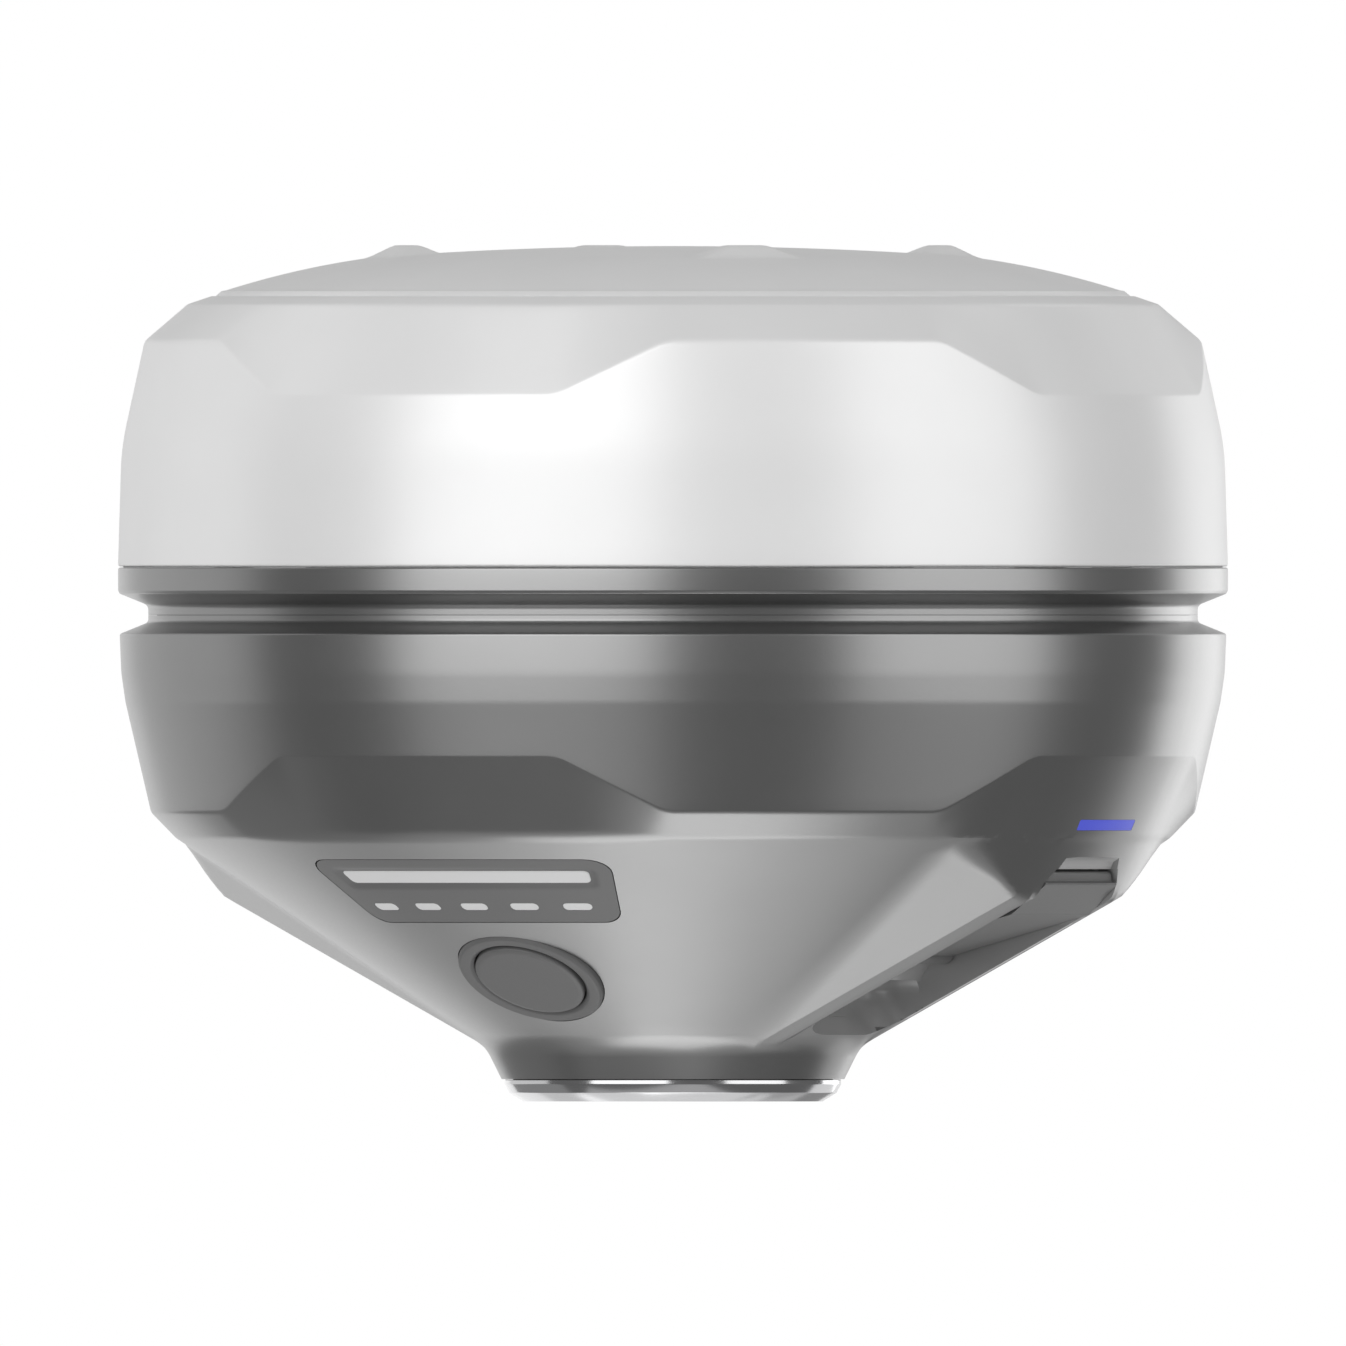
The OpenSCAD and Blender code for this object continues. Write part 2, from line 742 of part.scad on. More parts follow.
module mount_bushing() {
    color(steel) difference() {
        rotate_extrude() polygon([
            [0, 0], [18.05, 0], [shoulder_d / 2 - 0.55, 1.05], [shoulder_d / 2, 1.6], [shoulder_d / 2, 2.65],
            [hub_r, 2.65], [hub_r, hub_z], [shank_r, hub_z], [shank_r, shank_top], [0, shank_top]
        ]);
        translate([0, 0, -1]) cylinder(d = pole_thread_d, h = pole_thread_depth + 1);
        ring(18.3, 19.3, 2.05, 4);
        around(4, 45) translate([mount_screw_r, 0, 1.6]) cylinder(r = 1.5, h = 10);
    }
}

module mount_seal() {
    color(seal_black) ring(18.3, 19.3, 2.05, 2.7);
}

module mount_screws() {
    color(steel) around(4, 45) translate([mount_screw_r, 0, 0]) screw(1.5, 2.6, 1.7, cavity_foot);
}

// ---- Battery and chassis ----

cell_z = chassis_z - 0.5 - cell_d / 2;
cell_pitch = 19.4;
cradle_x = 39.3;
cradle_y = 34.2;
cradle_z = 35.6;
chassis_t = 1.5;
chassis_r = 55.4;

module cell_places() {
    for (i = [0 : cell_count - 1])
        translate([(i - (cell_count - 1) / 2) * cell_pitch, 0, cell_z]) rotate([90, 0, 0]) children();
}

module battery_cells() {
    color("steelblue") cell_places() {
        cylinder(d = cell_d, h = cell_l, center = true);
        cylinder(r = 3.5, h = cell_l + 1.6, center = true);
    }
}

module battery_cradle() {
    color("#3a3a3a") difference() {
        translate([-cradle_x, -cradle_y - 1.4, cradle_z]) cube([2 * cradle_x, 2 * cradle_y + 2.8, chassis_z - cradle_z]);
        cell_places() {
            cylinder(d = cell_d + 0.2, h = cell_l + 0.4, center = true);
            translate([0, cell_d / 2, 0]) cube([cell_d + 0.2, cell_d, cell_l + 0.4], center = true);
            cylinder(r = 4.5, h = cell_l + 2, center = true);
        }
        around(4, 45) translate([boss_post_ring, 0, cradle_z - 1]) cylinder(r = boss_post_r + 0.4, h = 30);
        for (y = [-22, 0, 22]) translate([0, y, cradle_z]) cube([70, 9, 8], center = true);
    }
}

module battery_lead() {
    color("firebrick") wire([
        [30, 36.6, 50], [30, 38.6, 53], [30, 40, 56], [30, 40.3, 60], [30, 38.5, 63.2], [30, 35, 64], [30, 31, 63.7]
    ], 0.9);
}

module chassis_plate() {
    color(steel) difference() {
        translate([0, 0, chassis_z]) cylinder(r = chassis_r, h = chassis_t);
        around(4, 45) translate([boss_post_ring, 0, 50]) cylinder(r = 1.6, h = 20);
        translate([24, 37, 50]) cube([12, 7, 20]);
        translate([0, -46, 50]) cylinder(r = 4, h = 20);
        translate([0, 46, 50]) cylinder(r = 4, h = 20);
        translate([50.3, 15.8, 50]) cylinder(r = 1.6, h = 20);
    }
}

module chassis_screws() {
    color(steel) around(4, 45) translate([boss_post_ring, 0, 0])
        screw(1.25, 2.2, 48, chassis_z + chassis_t);
}

// ---- Main board ----

board_z = 61;
board_t = 1.6;
board_r = 50;
board_top = board_z + board_t;
board_holes = 6;
board_hole_r = 46;
can_h = 2.3;

module main_board() {
    color(board_green) difference() {
        translate([0, 0, board_z]) cylinder(r = board_r, h = board_t);
        around(board_holes, 0) translate([board_hole_r, 0, 50]) cylinder(r = 1.3, h = 20);
        translate([24, 37, 50]) cube([12, 12, 20]);
    }
}

module board_standoffs() {
    color(brass_gold) around(board_holes, 0) translate([board_hole_r, 0, chassis_z + chassis_t]) difference() {
        cylinder(r = 2.5, h = board_z - chassis_z - chassis_t);
        translate([0, 0, -1]) cylinder(r = 1.2, h = 10);
    }
}

module board_screws() {
    color(steel) around(board_holes, 0) translate([board_hole_r, 0, 0])
        screw(1.2, 2.1, chassis_z + chassis_t + 0.2, board_top);
}

// A pressed tin lid, open below
module can(size, place) {
    translate([place[0] - size[0] / 2, place[1] - size[1] / 2, board_top]) difference() {
        cube([size[0], size[1], can_h]);
        translate([0.3, 0.3, -1]) cube([size[0] - 0.6, size[1] - 0.6, can_h + 0.7]);
    }
}

module gnss_module_can() {
    color(steel) can([36, 30], [-20, 12]);
}

module modem_can() {
    color(steel) can([30, 26], [20, -16]);
}

module processor_can() {
    color(steel) can([26, 26], [-18, -22]);
}

module wireless_antenna() {
    color("ivory") translate([-4, -42, board_top]) cube([12, 4, 1.6]);
}

module buzzer() {
    color(seal_black) translate([22, 10, board_top]) difference() {
        cylinder(r = 5, h = can_h);
        translate([0, 0, can_h - 0.6]) cylinder(r = 1, h = 2);
    }
}

// ---- Antenna stack ----

plane_z = 68.4;
plane_t = 1.6;
plane_r = 56.5;
plane_top = plane_z + plane_t;
standoff_ring = 53;
lower_patch = [78, 4.5];
upper_patch = [50, 6];
feed_ring = 14;

module antenna_ground_plane() {
    color(brass_gold) difference() {
        translate([0, 0, plane_z]) cylinder(r = plane_r, h = plane_t);
        around(6, 30) translate([standoff_ring, 0, 60]) cylinder(r = 1.6, h = 20);
        around(4, 0) translate([feed_ring, 0, 60]) cylinder(r = 0.9, h = 20);
    }
}

// A square patch with cut corners
module patch(size, z0) {
    translate([0, 0, z0]) difference() {
        translate([-size[0] / 2, -size[0] / 2, 0]) cube([size[0], size[0], size[1]]);
        around(4, 45) translate([size[0] * 0.66, -size[0], -1]) cube(2 * size[0]);
        around(4, 0) translate([feed_ring, 0, -1]) cylinder(r = 0.8, h = 20);
    }
}

module antenna_lower_patch() {
    color("ivory") patch(lower_patch, plane_top);
}

module antenna_upper_patch() {
    color("linen") patch(upper_patch, plane_top + lower_patch[1]);
}

module antenna_feed_pins() {
    top = plane_top + lower_patch[1] + upper_patch[1];
    color(brass_gold) around(4, 0) translate([feed_ring, 0, 0]) {
        translate([0, 0, plane_z]) cylinder(r = 0.8, h = top - plane_z + eps);
        translate([0, 0, top]) cylinder(r = 1.4, h = 0.4);
    }
}

module antenna_shield_can() {
    color(steel) difference() {
        translate([-22, -18, plane_z - 2.8]) cube([44, 36, 2.8]);
        translate([-21.6, -17.6, plane_z - 2.4]) cube([43.2, 35.2, 4]);
    }
}

module antenna_standoffs() {
    base = chassis_z + chassis_t;
    color(brass_gold) around(6, 30) translate([standoff_ring, 0, base]) difference() {
        cylinder(r = 2.4, h = plane_z - base);
        translate([0, 0, 3]) cylinder(r = 1.25, h = 20);
    }
}

module antenna_screws() {
    color(steel) around(6, 30) translate([standoff_ring, 0, 0]) screw(1.25, 2.3, 63, plane_top);
}

module antenna_coax() {
    color("black") wire([
        [-40, 12, board_top + 0.6], [-42, 12, board_top + 1], [-44.5, 12.5, 64.2], [-45.5, 14, 65.8],
        [-44, 16, 67], [-41, 16.5, 67.6], [-37, 16, 67.7]
    ], 0.6);
}

module radio_coax() {
    rear = radio_rear + 3.2;
    foot = port_point(0, rear);
    bend = port_point(0, rear + 1.4);
    color("black") wire([
        [foot[0], 0, foot[1]], [bend[0], 0, bend[1]], [42, 2, 37],
        [45.5, 8, 39], [49, 13, 44], [50.3, 15.8, 50], [50.3, 15.8, 56], [50.3, 15.8, 60],
        [49.3, 14.6, 63.2], [46, 12, 64.1], [42, 10, 63.7]
    ], 0.7);
}

radome();
shock_bumper();
middle_ring();
lower_housing();
housing_seal();
housing_screws();
mount_bushing();
mount_seal();
mount_screws();
indicator_window();
battery_light_bar();
status_light_lenses();
indicator_board();
indicator_leds();
button_bezel();
power_button();
button_membrane();
button_switch();
button_board();
radio_light();
radio_door();
radio_door_seal();
radio_hinge_pin();
radio_connector();
radio_connector_nut();
radio_coax();
usb_door();
usb_door_seal();
usb_hinge_pin();
usb_connector();
sim_socket();
port_board();
antenna_ground_plane();
antenna_lower_patch();
antenna_upper_patch();
antenna_feed_pins();
antenna_shield_can();
antenna_standoffs();
antenna_screws();
antenna_coax();
main_board();
gnss_module_can();
modem_can();
processor_can();
wireless_antenna();
buzzer();
board_standoffs();
board_screws();
chassis_plate();
chassis_screws();
battery_cells();
battery_cradle();
battery_lead();
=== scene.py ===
import json
import math

import bmesh
import bpy
from mathutils import Matrix, Vector


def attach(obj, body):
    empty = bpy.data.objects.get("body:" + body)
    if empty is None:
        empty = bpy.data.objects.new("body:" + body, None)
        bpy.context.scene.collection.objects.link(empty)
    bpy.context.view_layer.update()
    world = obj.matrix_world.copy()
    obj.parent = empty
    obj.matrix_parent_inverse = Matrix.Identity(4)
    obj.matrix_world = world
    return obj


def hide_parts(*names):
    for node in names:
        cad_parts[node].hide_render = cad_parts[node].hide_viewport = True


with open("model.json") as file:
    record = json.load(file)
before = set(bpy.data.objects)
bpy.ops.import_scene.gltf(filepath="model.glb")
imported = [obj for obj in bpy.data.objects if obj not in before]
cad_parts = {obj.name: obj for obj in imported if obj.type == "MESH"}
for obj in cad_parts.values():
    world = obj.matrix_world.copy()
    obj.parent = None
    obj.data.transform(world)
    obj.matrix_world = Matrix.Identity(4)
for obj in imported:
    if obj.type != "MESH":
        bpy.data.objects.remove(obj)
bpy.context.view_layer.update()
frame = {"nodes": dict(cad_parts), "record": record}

# An integrated GNSS receiver. Lengths are in millimetres and become metres when a mesh is made.
MM = 0.001
CAD = frame["nodes"]

# ---------------------------------------------------------------- main measures

CONE_FOOT = (23.4, 7.38)
CONE_TOP = (60.0, 31.8)
CONE_TILT = math.atan2(CONE_TOP[1] - CONE_FOOT[1], CONE_TOP[0] - CONE_FOOT[0])
# A flat side is flat up to the first angle off its middle, and the round corner starts at the second
FACET_FLAT, FACET_END = 17.4, 29.2
FACET_LOW_Z, SHOULDER_LOW_Z = 41.7, 34.9
FACET_HIGH_Z, SHOULDER_HIGH_Z = 85.3, 91.8
LOW_WALL = [(63.08, 35.2), (66.1, 48.2), (66.62, 51.8), (66.8, 56.45)]
HIGH_WALL = [(67.0, 64.6), (66.58, 79.0), (63.8, 91.8)]
# A port's frame: its origin as radius and height, and the tilt of its door's face
PORT_ORIGIN = (44.0, 20.06)
DOOR_TILT = math.radians(13.3)
BUTTON_R = 34.5


def cone_z(r):
    return CONE_FOOT[1] + (r - CONE_FOOT[0]) * math.tan(CONE_TILT)


def cone_r(z):
    return CONE_FOOT[0] + (z - CONE_FOOT[1]) / math.tan(CONE_TILT)


def mix(a, b, t):
    return a + (b - a) * t


def clamp(v, low, high):
    return max(low, min(high, v))


def ease(t):
    t = clamp(t, 0.0, 1.0)
    return t * t * (3 - 2 * t)


def smooth_min(a, b, k):
    h = clamp(0.5 + 0.5 * (b - a) / k, 0.0, 1.0)
    return mix(b, a, h) - k * h * (1 - h)


def smooth_max(a, b, k):
    return -smooth_min(-a, -b, k)


def along(table, z):
    """Radius on an outline of (radius, height) points at height z."""
    for (r0, z0), (r1, z1) in zip(table, table[1:]):
        if z <= z1:
            return mix(r0, r1, (z - z0) / (z1 - z0))
    return table[-1][0]


FACET_SLOPE = (FACET_LOW_Z - CONE_TOP[1]) / (along(LOW_WALL, FACET_LOW_Z) - CONE_TOP[0])


def port_point(x, z):
    """Radius and height of a point given in a port's frame."""
    return (
        PORT_ORIGIN[0] + x * math.cos(DOOR_TILT) - z * math.sin(DOOR_TILT),
        PORT_ORIGIN[1] + x * math.sin(DOOR_TILT) + z * math.cos(DOOR_TILT),
    )


# ---------------------------------------------------------------- mesh tools


def finish_mesh(name, bm, sharp=32):
    """A mesh object from bm, in metres: smooth, with edges over the sharp angle left crisp."""
    bmesh.ops.remove_doubles(bm, verts=bm.verts, dist=1e-4)
    bmesh.ops.dissolve_degenerate(bm, edges=bm.edges, dist=1e-5)
    bmesh.ops.recalc_face_normals(bm, faces=bm.faces)
    bmesh.ops.scale(bm, vec=(MM, MM, MM), verts=bm.verts)
    mesh = bpy.data.meshes.new(name)
    bm.to_mesh(mesh)
    bm.free()
    piece = bpy.data.objects.new(name, mesh)
    bpy.context.scene.collection.objects.link(piece)
    crease(piece, sharp)
    return piece


def crease(piece, sharp=32):
    """Smooth shading, except across edges bent by more than the sharp angle."""
    bm = bmesh.new()
    bm.from_mesh(piece.data)
    limit = math.radians(sharp)
    for face in bm.faces:
        face.smooth = True
    for edge in bm.edges:
        edge.smooth = len(edge.link_faces) == 2 and edge.calc_face_angle(0.0) < limit
    bm.to_mesh(piece.data)
    bm.free()


def grid_solid(name, columns, sharp=32, closed=True):
    """A solid through columns of (x, y, z) points that go all round. The columns are closed outlines,
    or start and end on the axis."""
    bm = bmesh.new()
    rings = [[bm.verts.new(p) for p in column] for column in columns]
    rows = len(rings[0])
    for i, here in enumerate(rings):
        there = rings[(i + 1) % len(rings)]
        for j in range(rows if closed else rows - 1):
            k = (j + 1) % rows
            bm.faces.new((here[j], there[j], there[k], here[k]))
    return finish_mesh(name, bm, sharp)


def rounded(points, radii, steps=5, closed=False):
    """The outline with each corner replaced by an arc of its radius, always of the same point count."""
    out = []
    count = len(points)
    for i, point in enumerate(points):
        if not closed and i in (0, count - 1):
            out.append(tuple(point))
            continue
        here = Vector(point)
        back = Vector(points[i - 1]) - here
        ahead = Vector(points[(i + 1) % count]) - here
        turn = back.angle(ahead)
        reach = min(radii[i] / math.tan(turn / 2), 0.49 * back.length, 0.49 * ahead.length)
        reach = max(reach, 1e-3)
        radius = reach * math.tan(turn / 2)
        start = here + back.normalized() * reach
        end = here + ahead.normalized() * reach
        middle = (back.normalized() + ahead.normalized()).normalized()
        centre = here + middle * math.hypot(reach, radius)
        a, b = start - centre, end - centre
        sweep = a.angle(b)
        for k in range(steps + 1):
            t = k / steps
            s = math.sin(sweep) or 1e-9
            v = a * (math.sin((1 - t) * sweep) / s) + b * (math.sin(t * sweep) / s)
            out.append(tuple(centre + v))
    return out


def spread(start, end, count):
    """Points between two others, ends left out."""
    return [tuple(mix(a, b, k / count) for a, b in zip(start, end)) for k in range(1, count)]


def turned(outline, angles):
    """Columns of (x, y, z) from one (radius, height) outline at each angle in degrees."""
    return [
        [(r * math.cos(math.radians(a)), r * math.sin(math.radians(a)), z) for r, z in outline]
        for a in angles
    ]


def lathe(name, outline, steps=256, sharp=32, closed=True, at=None):
    """A turned solid. A frame maps its (x, y, z) points, and an open outline starts and ends on the axis."""
    columns = turned(outline, [360 * i / steps for i in range(steps)])
    if at:
        columns = [[at(*point) for point in column] for column in columns]
    return grid_solid(name, columns, sharp, closed)


def prism(name, outline, place, low, high, sharp=32):
    """A straight solid: the outline's (u, v) points at depths low and high, mapped by place(u, v, w)."""
    bm = bmesh.new()
    ends = [[bm.verts.new(place(u, v, w)) for u, v in outline] for w in (low, high)]
    count = len(outline)
    for j in range(count):
        k = (j + 1) % count
        bm.faces.new((ends[0][j], ends[0][k], ends[1][k], ends[1][j]))
    bm.faces.new(list(reversed(ends[0])))
    bm.faces.new(ends[1])
    return finish_mesh(name, bm, sharp)


# After a boolean, vertices closer than WELD are joined, edges under SHORTEST are closed up, and a
# corner that stands off a straight edge by less than STRAIGHT is dropped
WELD, SHORTEST, STRAIGHT = 0.002, 0.001, 0.005


def bulge(vert):
    """How far a vertex with two edges stands off the straight line between its neighbours."""
    a, b = (edge.other_vert(vert).co for edge in vert.link_edges)
    return (vert.co - a).cross(b - a).length / max((b - a).length, 1e-9)


def boolean(target, tools, operation="DIFFERENCE", sharp=32):
    """Cuts each tool out of the target's mesh, or joins it on, and removes the tool. Corners left on
    a straight edge are dropped, because they would make faces without area."""
    for tool in tools:
        step = target.modifiers.new("step", "BOOLEAN")
        step.operation = operation
        step.solver = "EXACT"
        step.object = tool
        bpy.context.view_layer.update()
        shape = target.evaluated_get(bpy.context.evaluated_depsgraph_get())
        mesh = bpy.data.meshes.new_from_object(shape)
        target.modifiers.remove(step)
        old = target.data
        target.data = mesh
        mesh.name = old.name
        bpy.data.meshes.remove(old)
        bpy.data.objects.remove(tool)
    bm = bmesh.new()
    bm.from_mesh(target.data)
    bmesh.ops.remove_doubles(bm, verts=bm.verts, dist=WELD * MM)
    bmesh.ops.dissolve_degenerate(bm, edges=bm.edges, dist=SHORTEST * MM)
    spare = [v for v in bm.verts if len(v.link_edges) == 2 and bulge(v) < STRAIGHT * MM]
    bmesh.ops.dissolve_verts(bm, verts=spare)
    bm.to_mesh(target.data)
    bm.free()
    crease(target, sharp)
    return target


def mirrored(piece, name):
    """A copy of the piece mirrored to the -X side."""
    copy = piece.copy()
    copy.data = piece.data.copy()
    copy.name = copy.data.name = name
    bpy.context.scene.collection.objects.link(copy)
    copy.data.transform(Matrix.Scale(-1, 4, (1, 0, 0)))
    copy.data.flip_normals()
    return copy


def plane_xz(u, v, w):
    return (u, w, v)


def plane_yz(u, v, w):
    return (w, u, v)


def in_port(u, v, w):
    """A point in the +X port's frame: u runs outwards along the door, w into the body."""
    x, z = port_point(u, w)
    return (x, v, z)


def in_button(u, v, w):
    """A point in the button's frame: w runs into the body, square to the cone's skin."""
    y = v * math.cos(CONE_TILT) + w * math.sin(CONE_TILT)
    z = -v * math.sin(CONE_TILT) + w * math.cos(CONE_TILT)
    return (u, y - BUTTON_R, z + cone_z(BUTTON_R))


# ---------------------------------------------------------------- the faceted skin

# Round a port the columns run along rails, lines parallel to the port's middle, up to RAIL_RADIUS
RAIL_RADIUS = 57.0
RAIL_EDGE = 13.5
RAIL_START = 24.0
RAILS = [1.2 * k for k in range(8)]
RAILS += [9.4, 9.98, 10.15, 10.32, 10.5, 11.5, 12.4, 12.85, 12.95, 13.05, RAIL_EDGE]


def half_sector():
    """Column angles from the middle of a flat side to the middle of the next round corner."""
    edge = math.degrees(math.asin(RAIL_EDGE / RAIL_RADIUS))
    angles = [math.degrees(math.asin(y / RAIL_RADIUS)) for y in RAILS]
    for start, end, count in ((edge, FACET_FLAT, 5), (FACET_FLAT, FACET_END, 16), (FACET_END, 45, 18)):
        angles += [mix(start, end, k / count) for k in range(1, count + 1)]
    return angles


HALF_SECTOR = half_sector()
SECTOR = [-a for a in reversed(HALF_SECTOR[1:])] + HALF_SECTOR[:-1]
SKIN_ANGLES = [a + 90 * q for q in range(4) for a in SECTOR]


def off_side(angle):
    """Degrees from the middle of the nearest flat side."""
    return abs((angle + 45) % 90 - 45)


def corner_share(angle):
    """From 0 over a flat side to 1 over a round corner, with both bends of the ramp eased."""
    share = clamp((off_side(angle) - FACET_FLAT) / (FACET_END - FACET_FLAT), -1, 2)
    return smooth_min(smooth_max(share, 0, 0.1), 1, 0.1)


def rail_angle(angle, r):
    """Where a column of a port's sector stands at radius r: beside a port the columns run parallel."""
    side = round(angle / 180) * 180
    delta = angle - side
    sign = -1 if delta < 0 else 1
    delta = abs(delta)
    edge = math.degrees(math.asin(RAIL_EDGE / RAIL_RADIUS))
    near = clamp(r, RAIL_START, RAIL_RADIUS)
    if delta <= edge + 1e-6:
        y = RAIL_RADIUS * math.sin(math.radians(delta))
        moved = math.degrees(math.asin(clamp(y / near, 0, 1)))
    else:
        inner = math.degrees(math.asin(RAIL_EDGE / near))
        moved = mix(inner, 45, (delta - edge) / (45 - edge))
    return side + sign * moved


# A port housing seen in section: its rim's slope along the port, and the slopes of the bevel and the
# flank beside it, with the half widths at which the rim ends, the bevel starts and the bevel ends
RIDGE_SLOPE, BEVEL_SLOPE, FLANK_SLOPE = 0.4966, 0.30, 0.57
RIM_HALF, BEVEL_START, BEVEL_HALF = 10.5, 10.15, 12.95
RIDGE_TOP = (56.6, 24.69)
NECK_END, HEEL = 26.6, 4.0
# Degrees either side of a port over which its housing blends into the cone
PORT_REACH = 58


def ridge_z(x):
    return RIDGE_TOP[1] - (RIDGE_TOP[0] - x) * RIDGE_SLOPE


def low_edge(angle):
    """Top corner of the lower housing's flat side or shoulder at one angle."""
    edge_z = mix(FACET_LOW_Z, SHOULDER_LOW_Z, corner_share(angle))
    return (along(LOW_WALL, edge_z), edge_z)


def port_underside(x, y, r, slope):
    """Lower face of a raised port housing over the point (x, y): a rolled rim round the recess, a
    bevel, a flank, and the side above it carried on downwards at its own slope."""
    y = abs(y)
    z = ridge_z(x) + 0.25 * clamp((RIM_HALF - y) / 0.5, 0, 1) ** 2
    z += BEVEL_SLOPE * clamp(y - BEVEL_START, 0, BEVEL_HALF - BEVEL_START)
    z += FLANK_SLOPE * max(0, y - BEVEL_HALF)
    side = CONE_TOP[1] + (r - CONE_TOP[0]) * slope
    return smooth_max(z, side, mix(0.4, 2.2, ease((y - BEVEL_HALF) / 8)))


def from_x(angle):
    """Degrees from the middle of the nearest port."""
    return abs((angle + 90) % 180 - 90)


def low_outline(angle):
    """Outer outline of the lower housing at one angle, bottom to top, as (radius, height)."""
    edge = low_edge(angle)
    on_port = off_side(angle) < FACET_END and round(angle / 90) % 2 == 0
    heel = HEEL * (ease((off_side(angle) - 24) / 5) if on_port else 1) + 0.01
    neck = rounded([(20.7, 2.7), (22.85, 7.01), (NECK_END, cone_z(NECK_END))], [0, 7, 0], 8)
    cone = [(r, cone_z(r)) for r in (NECK_END + 0.5 * k for k in range(1, 60))]
    wall = rounded(
        [(RIDGE_TOP[0], cone_z(RIDGE_TOP[0])), CONE_TOP, edge, LOW_WALL[1], LOW_WALL[2], LOW_WALL[3],
         (63.35, 57.85), (63.35, 58.7)],
        [0, heel, 1.3, 10, 14, 0.35, 0.8, 0], 5,
    )
    foot = spread(wall[0], wall[1], 8)
    facet = spread(wall[6], wall[7], 14)
    rise = spread(wall[12], wall[13], 8)
    return neck + cone + wall[:1] + foot + wall[1:7] + facet + wall[7:13] + rise + wall[13:]


def housing_columns():
    """Columns all round the lower housing: its skin with the port housings, then its inside."""
    inner = [
        (60.9, 58.7), (60.9, 56.2), (64, 54), (64, 51.8), (63.5, 48.2), (61.9, 41.7),
        (57.6, cone_z(57.6) + 3.0), (21.3, 9), (10.5, 9), (10.5, 5.6), (17.5, 5.6), (17.5, 2.7),
    ]
    columns = []
    for angle in SKIN_ANGLES:
        port = round(angle / 90) % 2 == 0
        edge_r, edge_z = low_edge(angle)
        slope = (edge_z - CONE_TOP[1]) / (edge_r - CONE_TOP[0])
        column = []
        for r, z in low_outline(angle):
            a = rail_angle(angle, r) if port else angle
            x, y = r * math.cos(math.radians(a)), r * math.sin(math.radians(a))
            below_wall = 21.5 < r < CONE_TOP[0] and z < CONE_TOP[1] + 0.1
            if below_wall and from_x(angle) < PORT_REACH:
                fade = ease((CONE_TOP[0] - r) / 3) * ease((PORT_REACH - from_x(angle)) / 8)
                z = smooth_min(z, port_underside(abs(x), y, r, slope), 0.02 + 0.5 * fade)
            column.append((x, y, z))
        column += turned(inner, [angle])[0]
        columns.append(column)
    return columns


def high_outline(angle):
    """Closed outline of the white shell at one angle: outer wall upwards, then its inner face down."""
    edge_z = mix(FACET_HIGH_Z, SHOULDER_HIGH_Z, corner_share(angle))
    edge = (along(HIGH_WALL, edge_z), edge_z)
    wall = rounded(
        [(66.4, 64.6), HIGH_WALL[0], HIGH_WALL[1], edge, (58.6, 96.25), (55.5, 97.3), (55.35, 96.7),
         (62.6, 85.4), (63.4, 80), (64, 66.5)],
        [0, 0.35, 30, 1.6, 1.4, 0.25, 0.1, 2, 2, 0], 5,
    )
    low = spread(wall[6], wall[7], 6)
    rise = spread(wall[12], wall[13], 10)
    face = spread(wall[18], wall[19], 14)
    foot = [(64, 64.47), (66.35, 64.47)]
    return foot + wall[:7] + low + wall[7:13] + rise + wall[13:19] + face + wall[19:]


# ---------------------------------------------------------------- dome with its four bumps

CROWN_R, CROWN_Z = 36.0, 101.94
BUMP_START = 26.0


def dome_z(r):
    if r <= CROWN_R:
        return CROWN_Z + 1.33 * (1 - (r / CROWN_R) ** 2)
    return CROWN_Z - 0.13 * (r - CROWN_R) - 0.0052 * (r - CROWN_R) ** 2


def bump_z(x, y):
    """Height of the nearest bump's flanks over the point (x, y)."""
    angle = math.radians(math.floor(math.degrees(math.atan2(y, x)) / 90) * 90 + 45)
    p = x * math.cos(angle) + y * math.sin(angle)
    q = abs(-x * math.sin(angle) + y * math.cos(angle))
    inner = 102.35 + (p - 30.2) * 0.52
    outer = 101.85 + (36.6 - p) * 0.68
    side = 102.1 + (5.7 - q) * 0.40
    return smooth_min(smooth_min(inner, outer, 0.25), smooth_min(side, 103.38, 0.25), 0.25)


def dome_columns():
    rows = [0.0] + [2.0 * k for k in range(1, 14)] + [28 + 0.45 * k for k in range(24)]
    rows += [mix(39.2, 54.0, k / 16) for k in range(17)]
    edge = rounded([(54.0, dome_z(54.0)), (54.5, 97.85), (55.2, 97.25), (55.2, 96.6)], [0, 0.4, 0.3, 0], 3)
    skirt = [(62.5, 85.3), (63.3, 80), (63.9, 66.5), (62, 66.5), (61.3, 80), (60.5, 85.3)]
    under = [(52.6, 95.9), (48, 97.4), (36, 99.7), (18, 100.7), (0.0, 101)]
    columns = []
    for angle in SKIN_ANGLES:
        c, s = math.cos(math.radians(angle)), math.sin(math.radians(angle))
        column = []
        for r in rows:
            z = dome_z(r)
            if r > BUMP_START:
                z = smooth_max(z, bump_z(r * c, r * s), 0.3)
            column.append((r * c, r * s, z))
        column += [(r * c, r * s, z) for r, z in edge[1:] + skirt + under]
        columns.append(column)
    return columns


# ---------------------------------------------------------------- materials


def new_material(name):
    material = bpy.data.materials.new(name)
    material.use_nodes = True
    nodes, links = material.node_tree.nodes, material.node_tree.links
    shader = nodes["Principled BSDF"]
    return material, nodes, links, shader


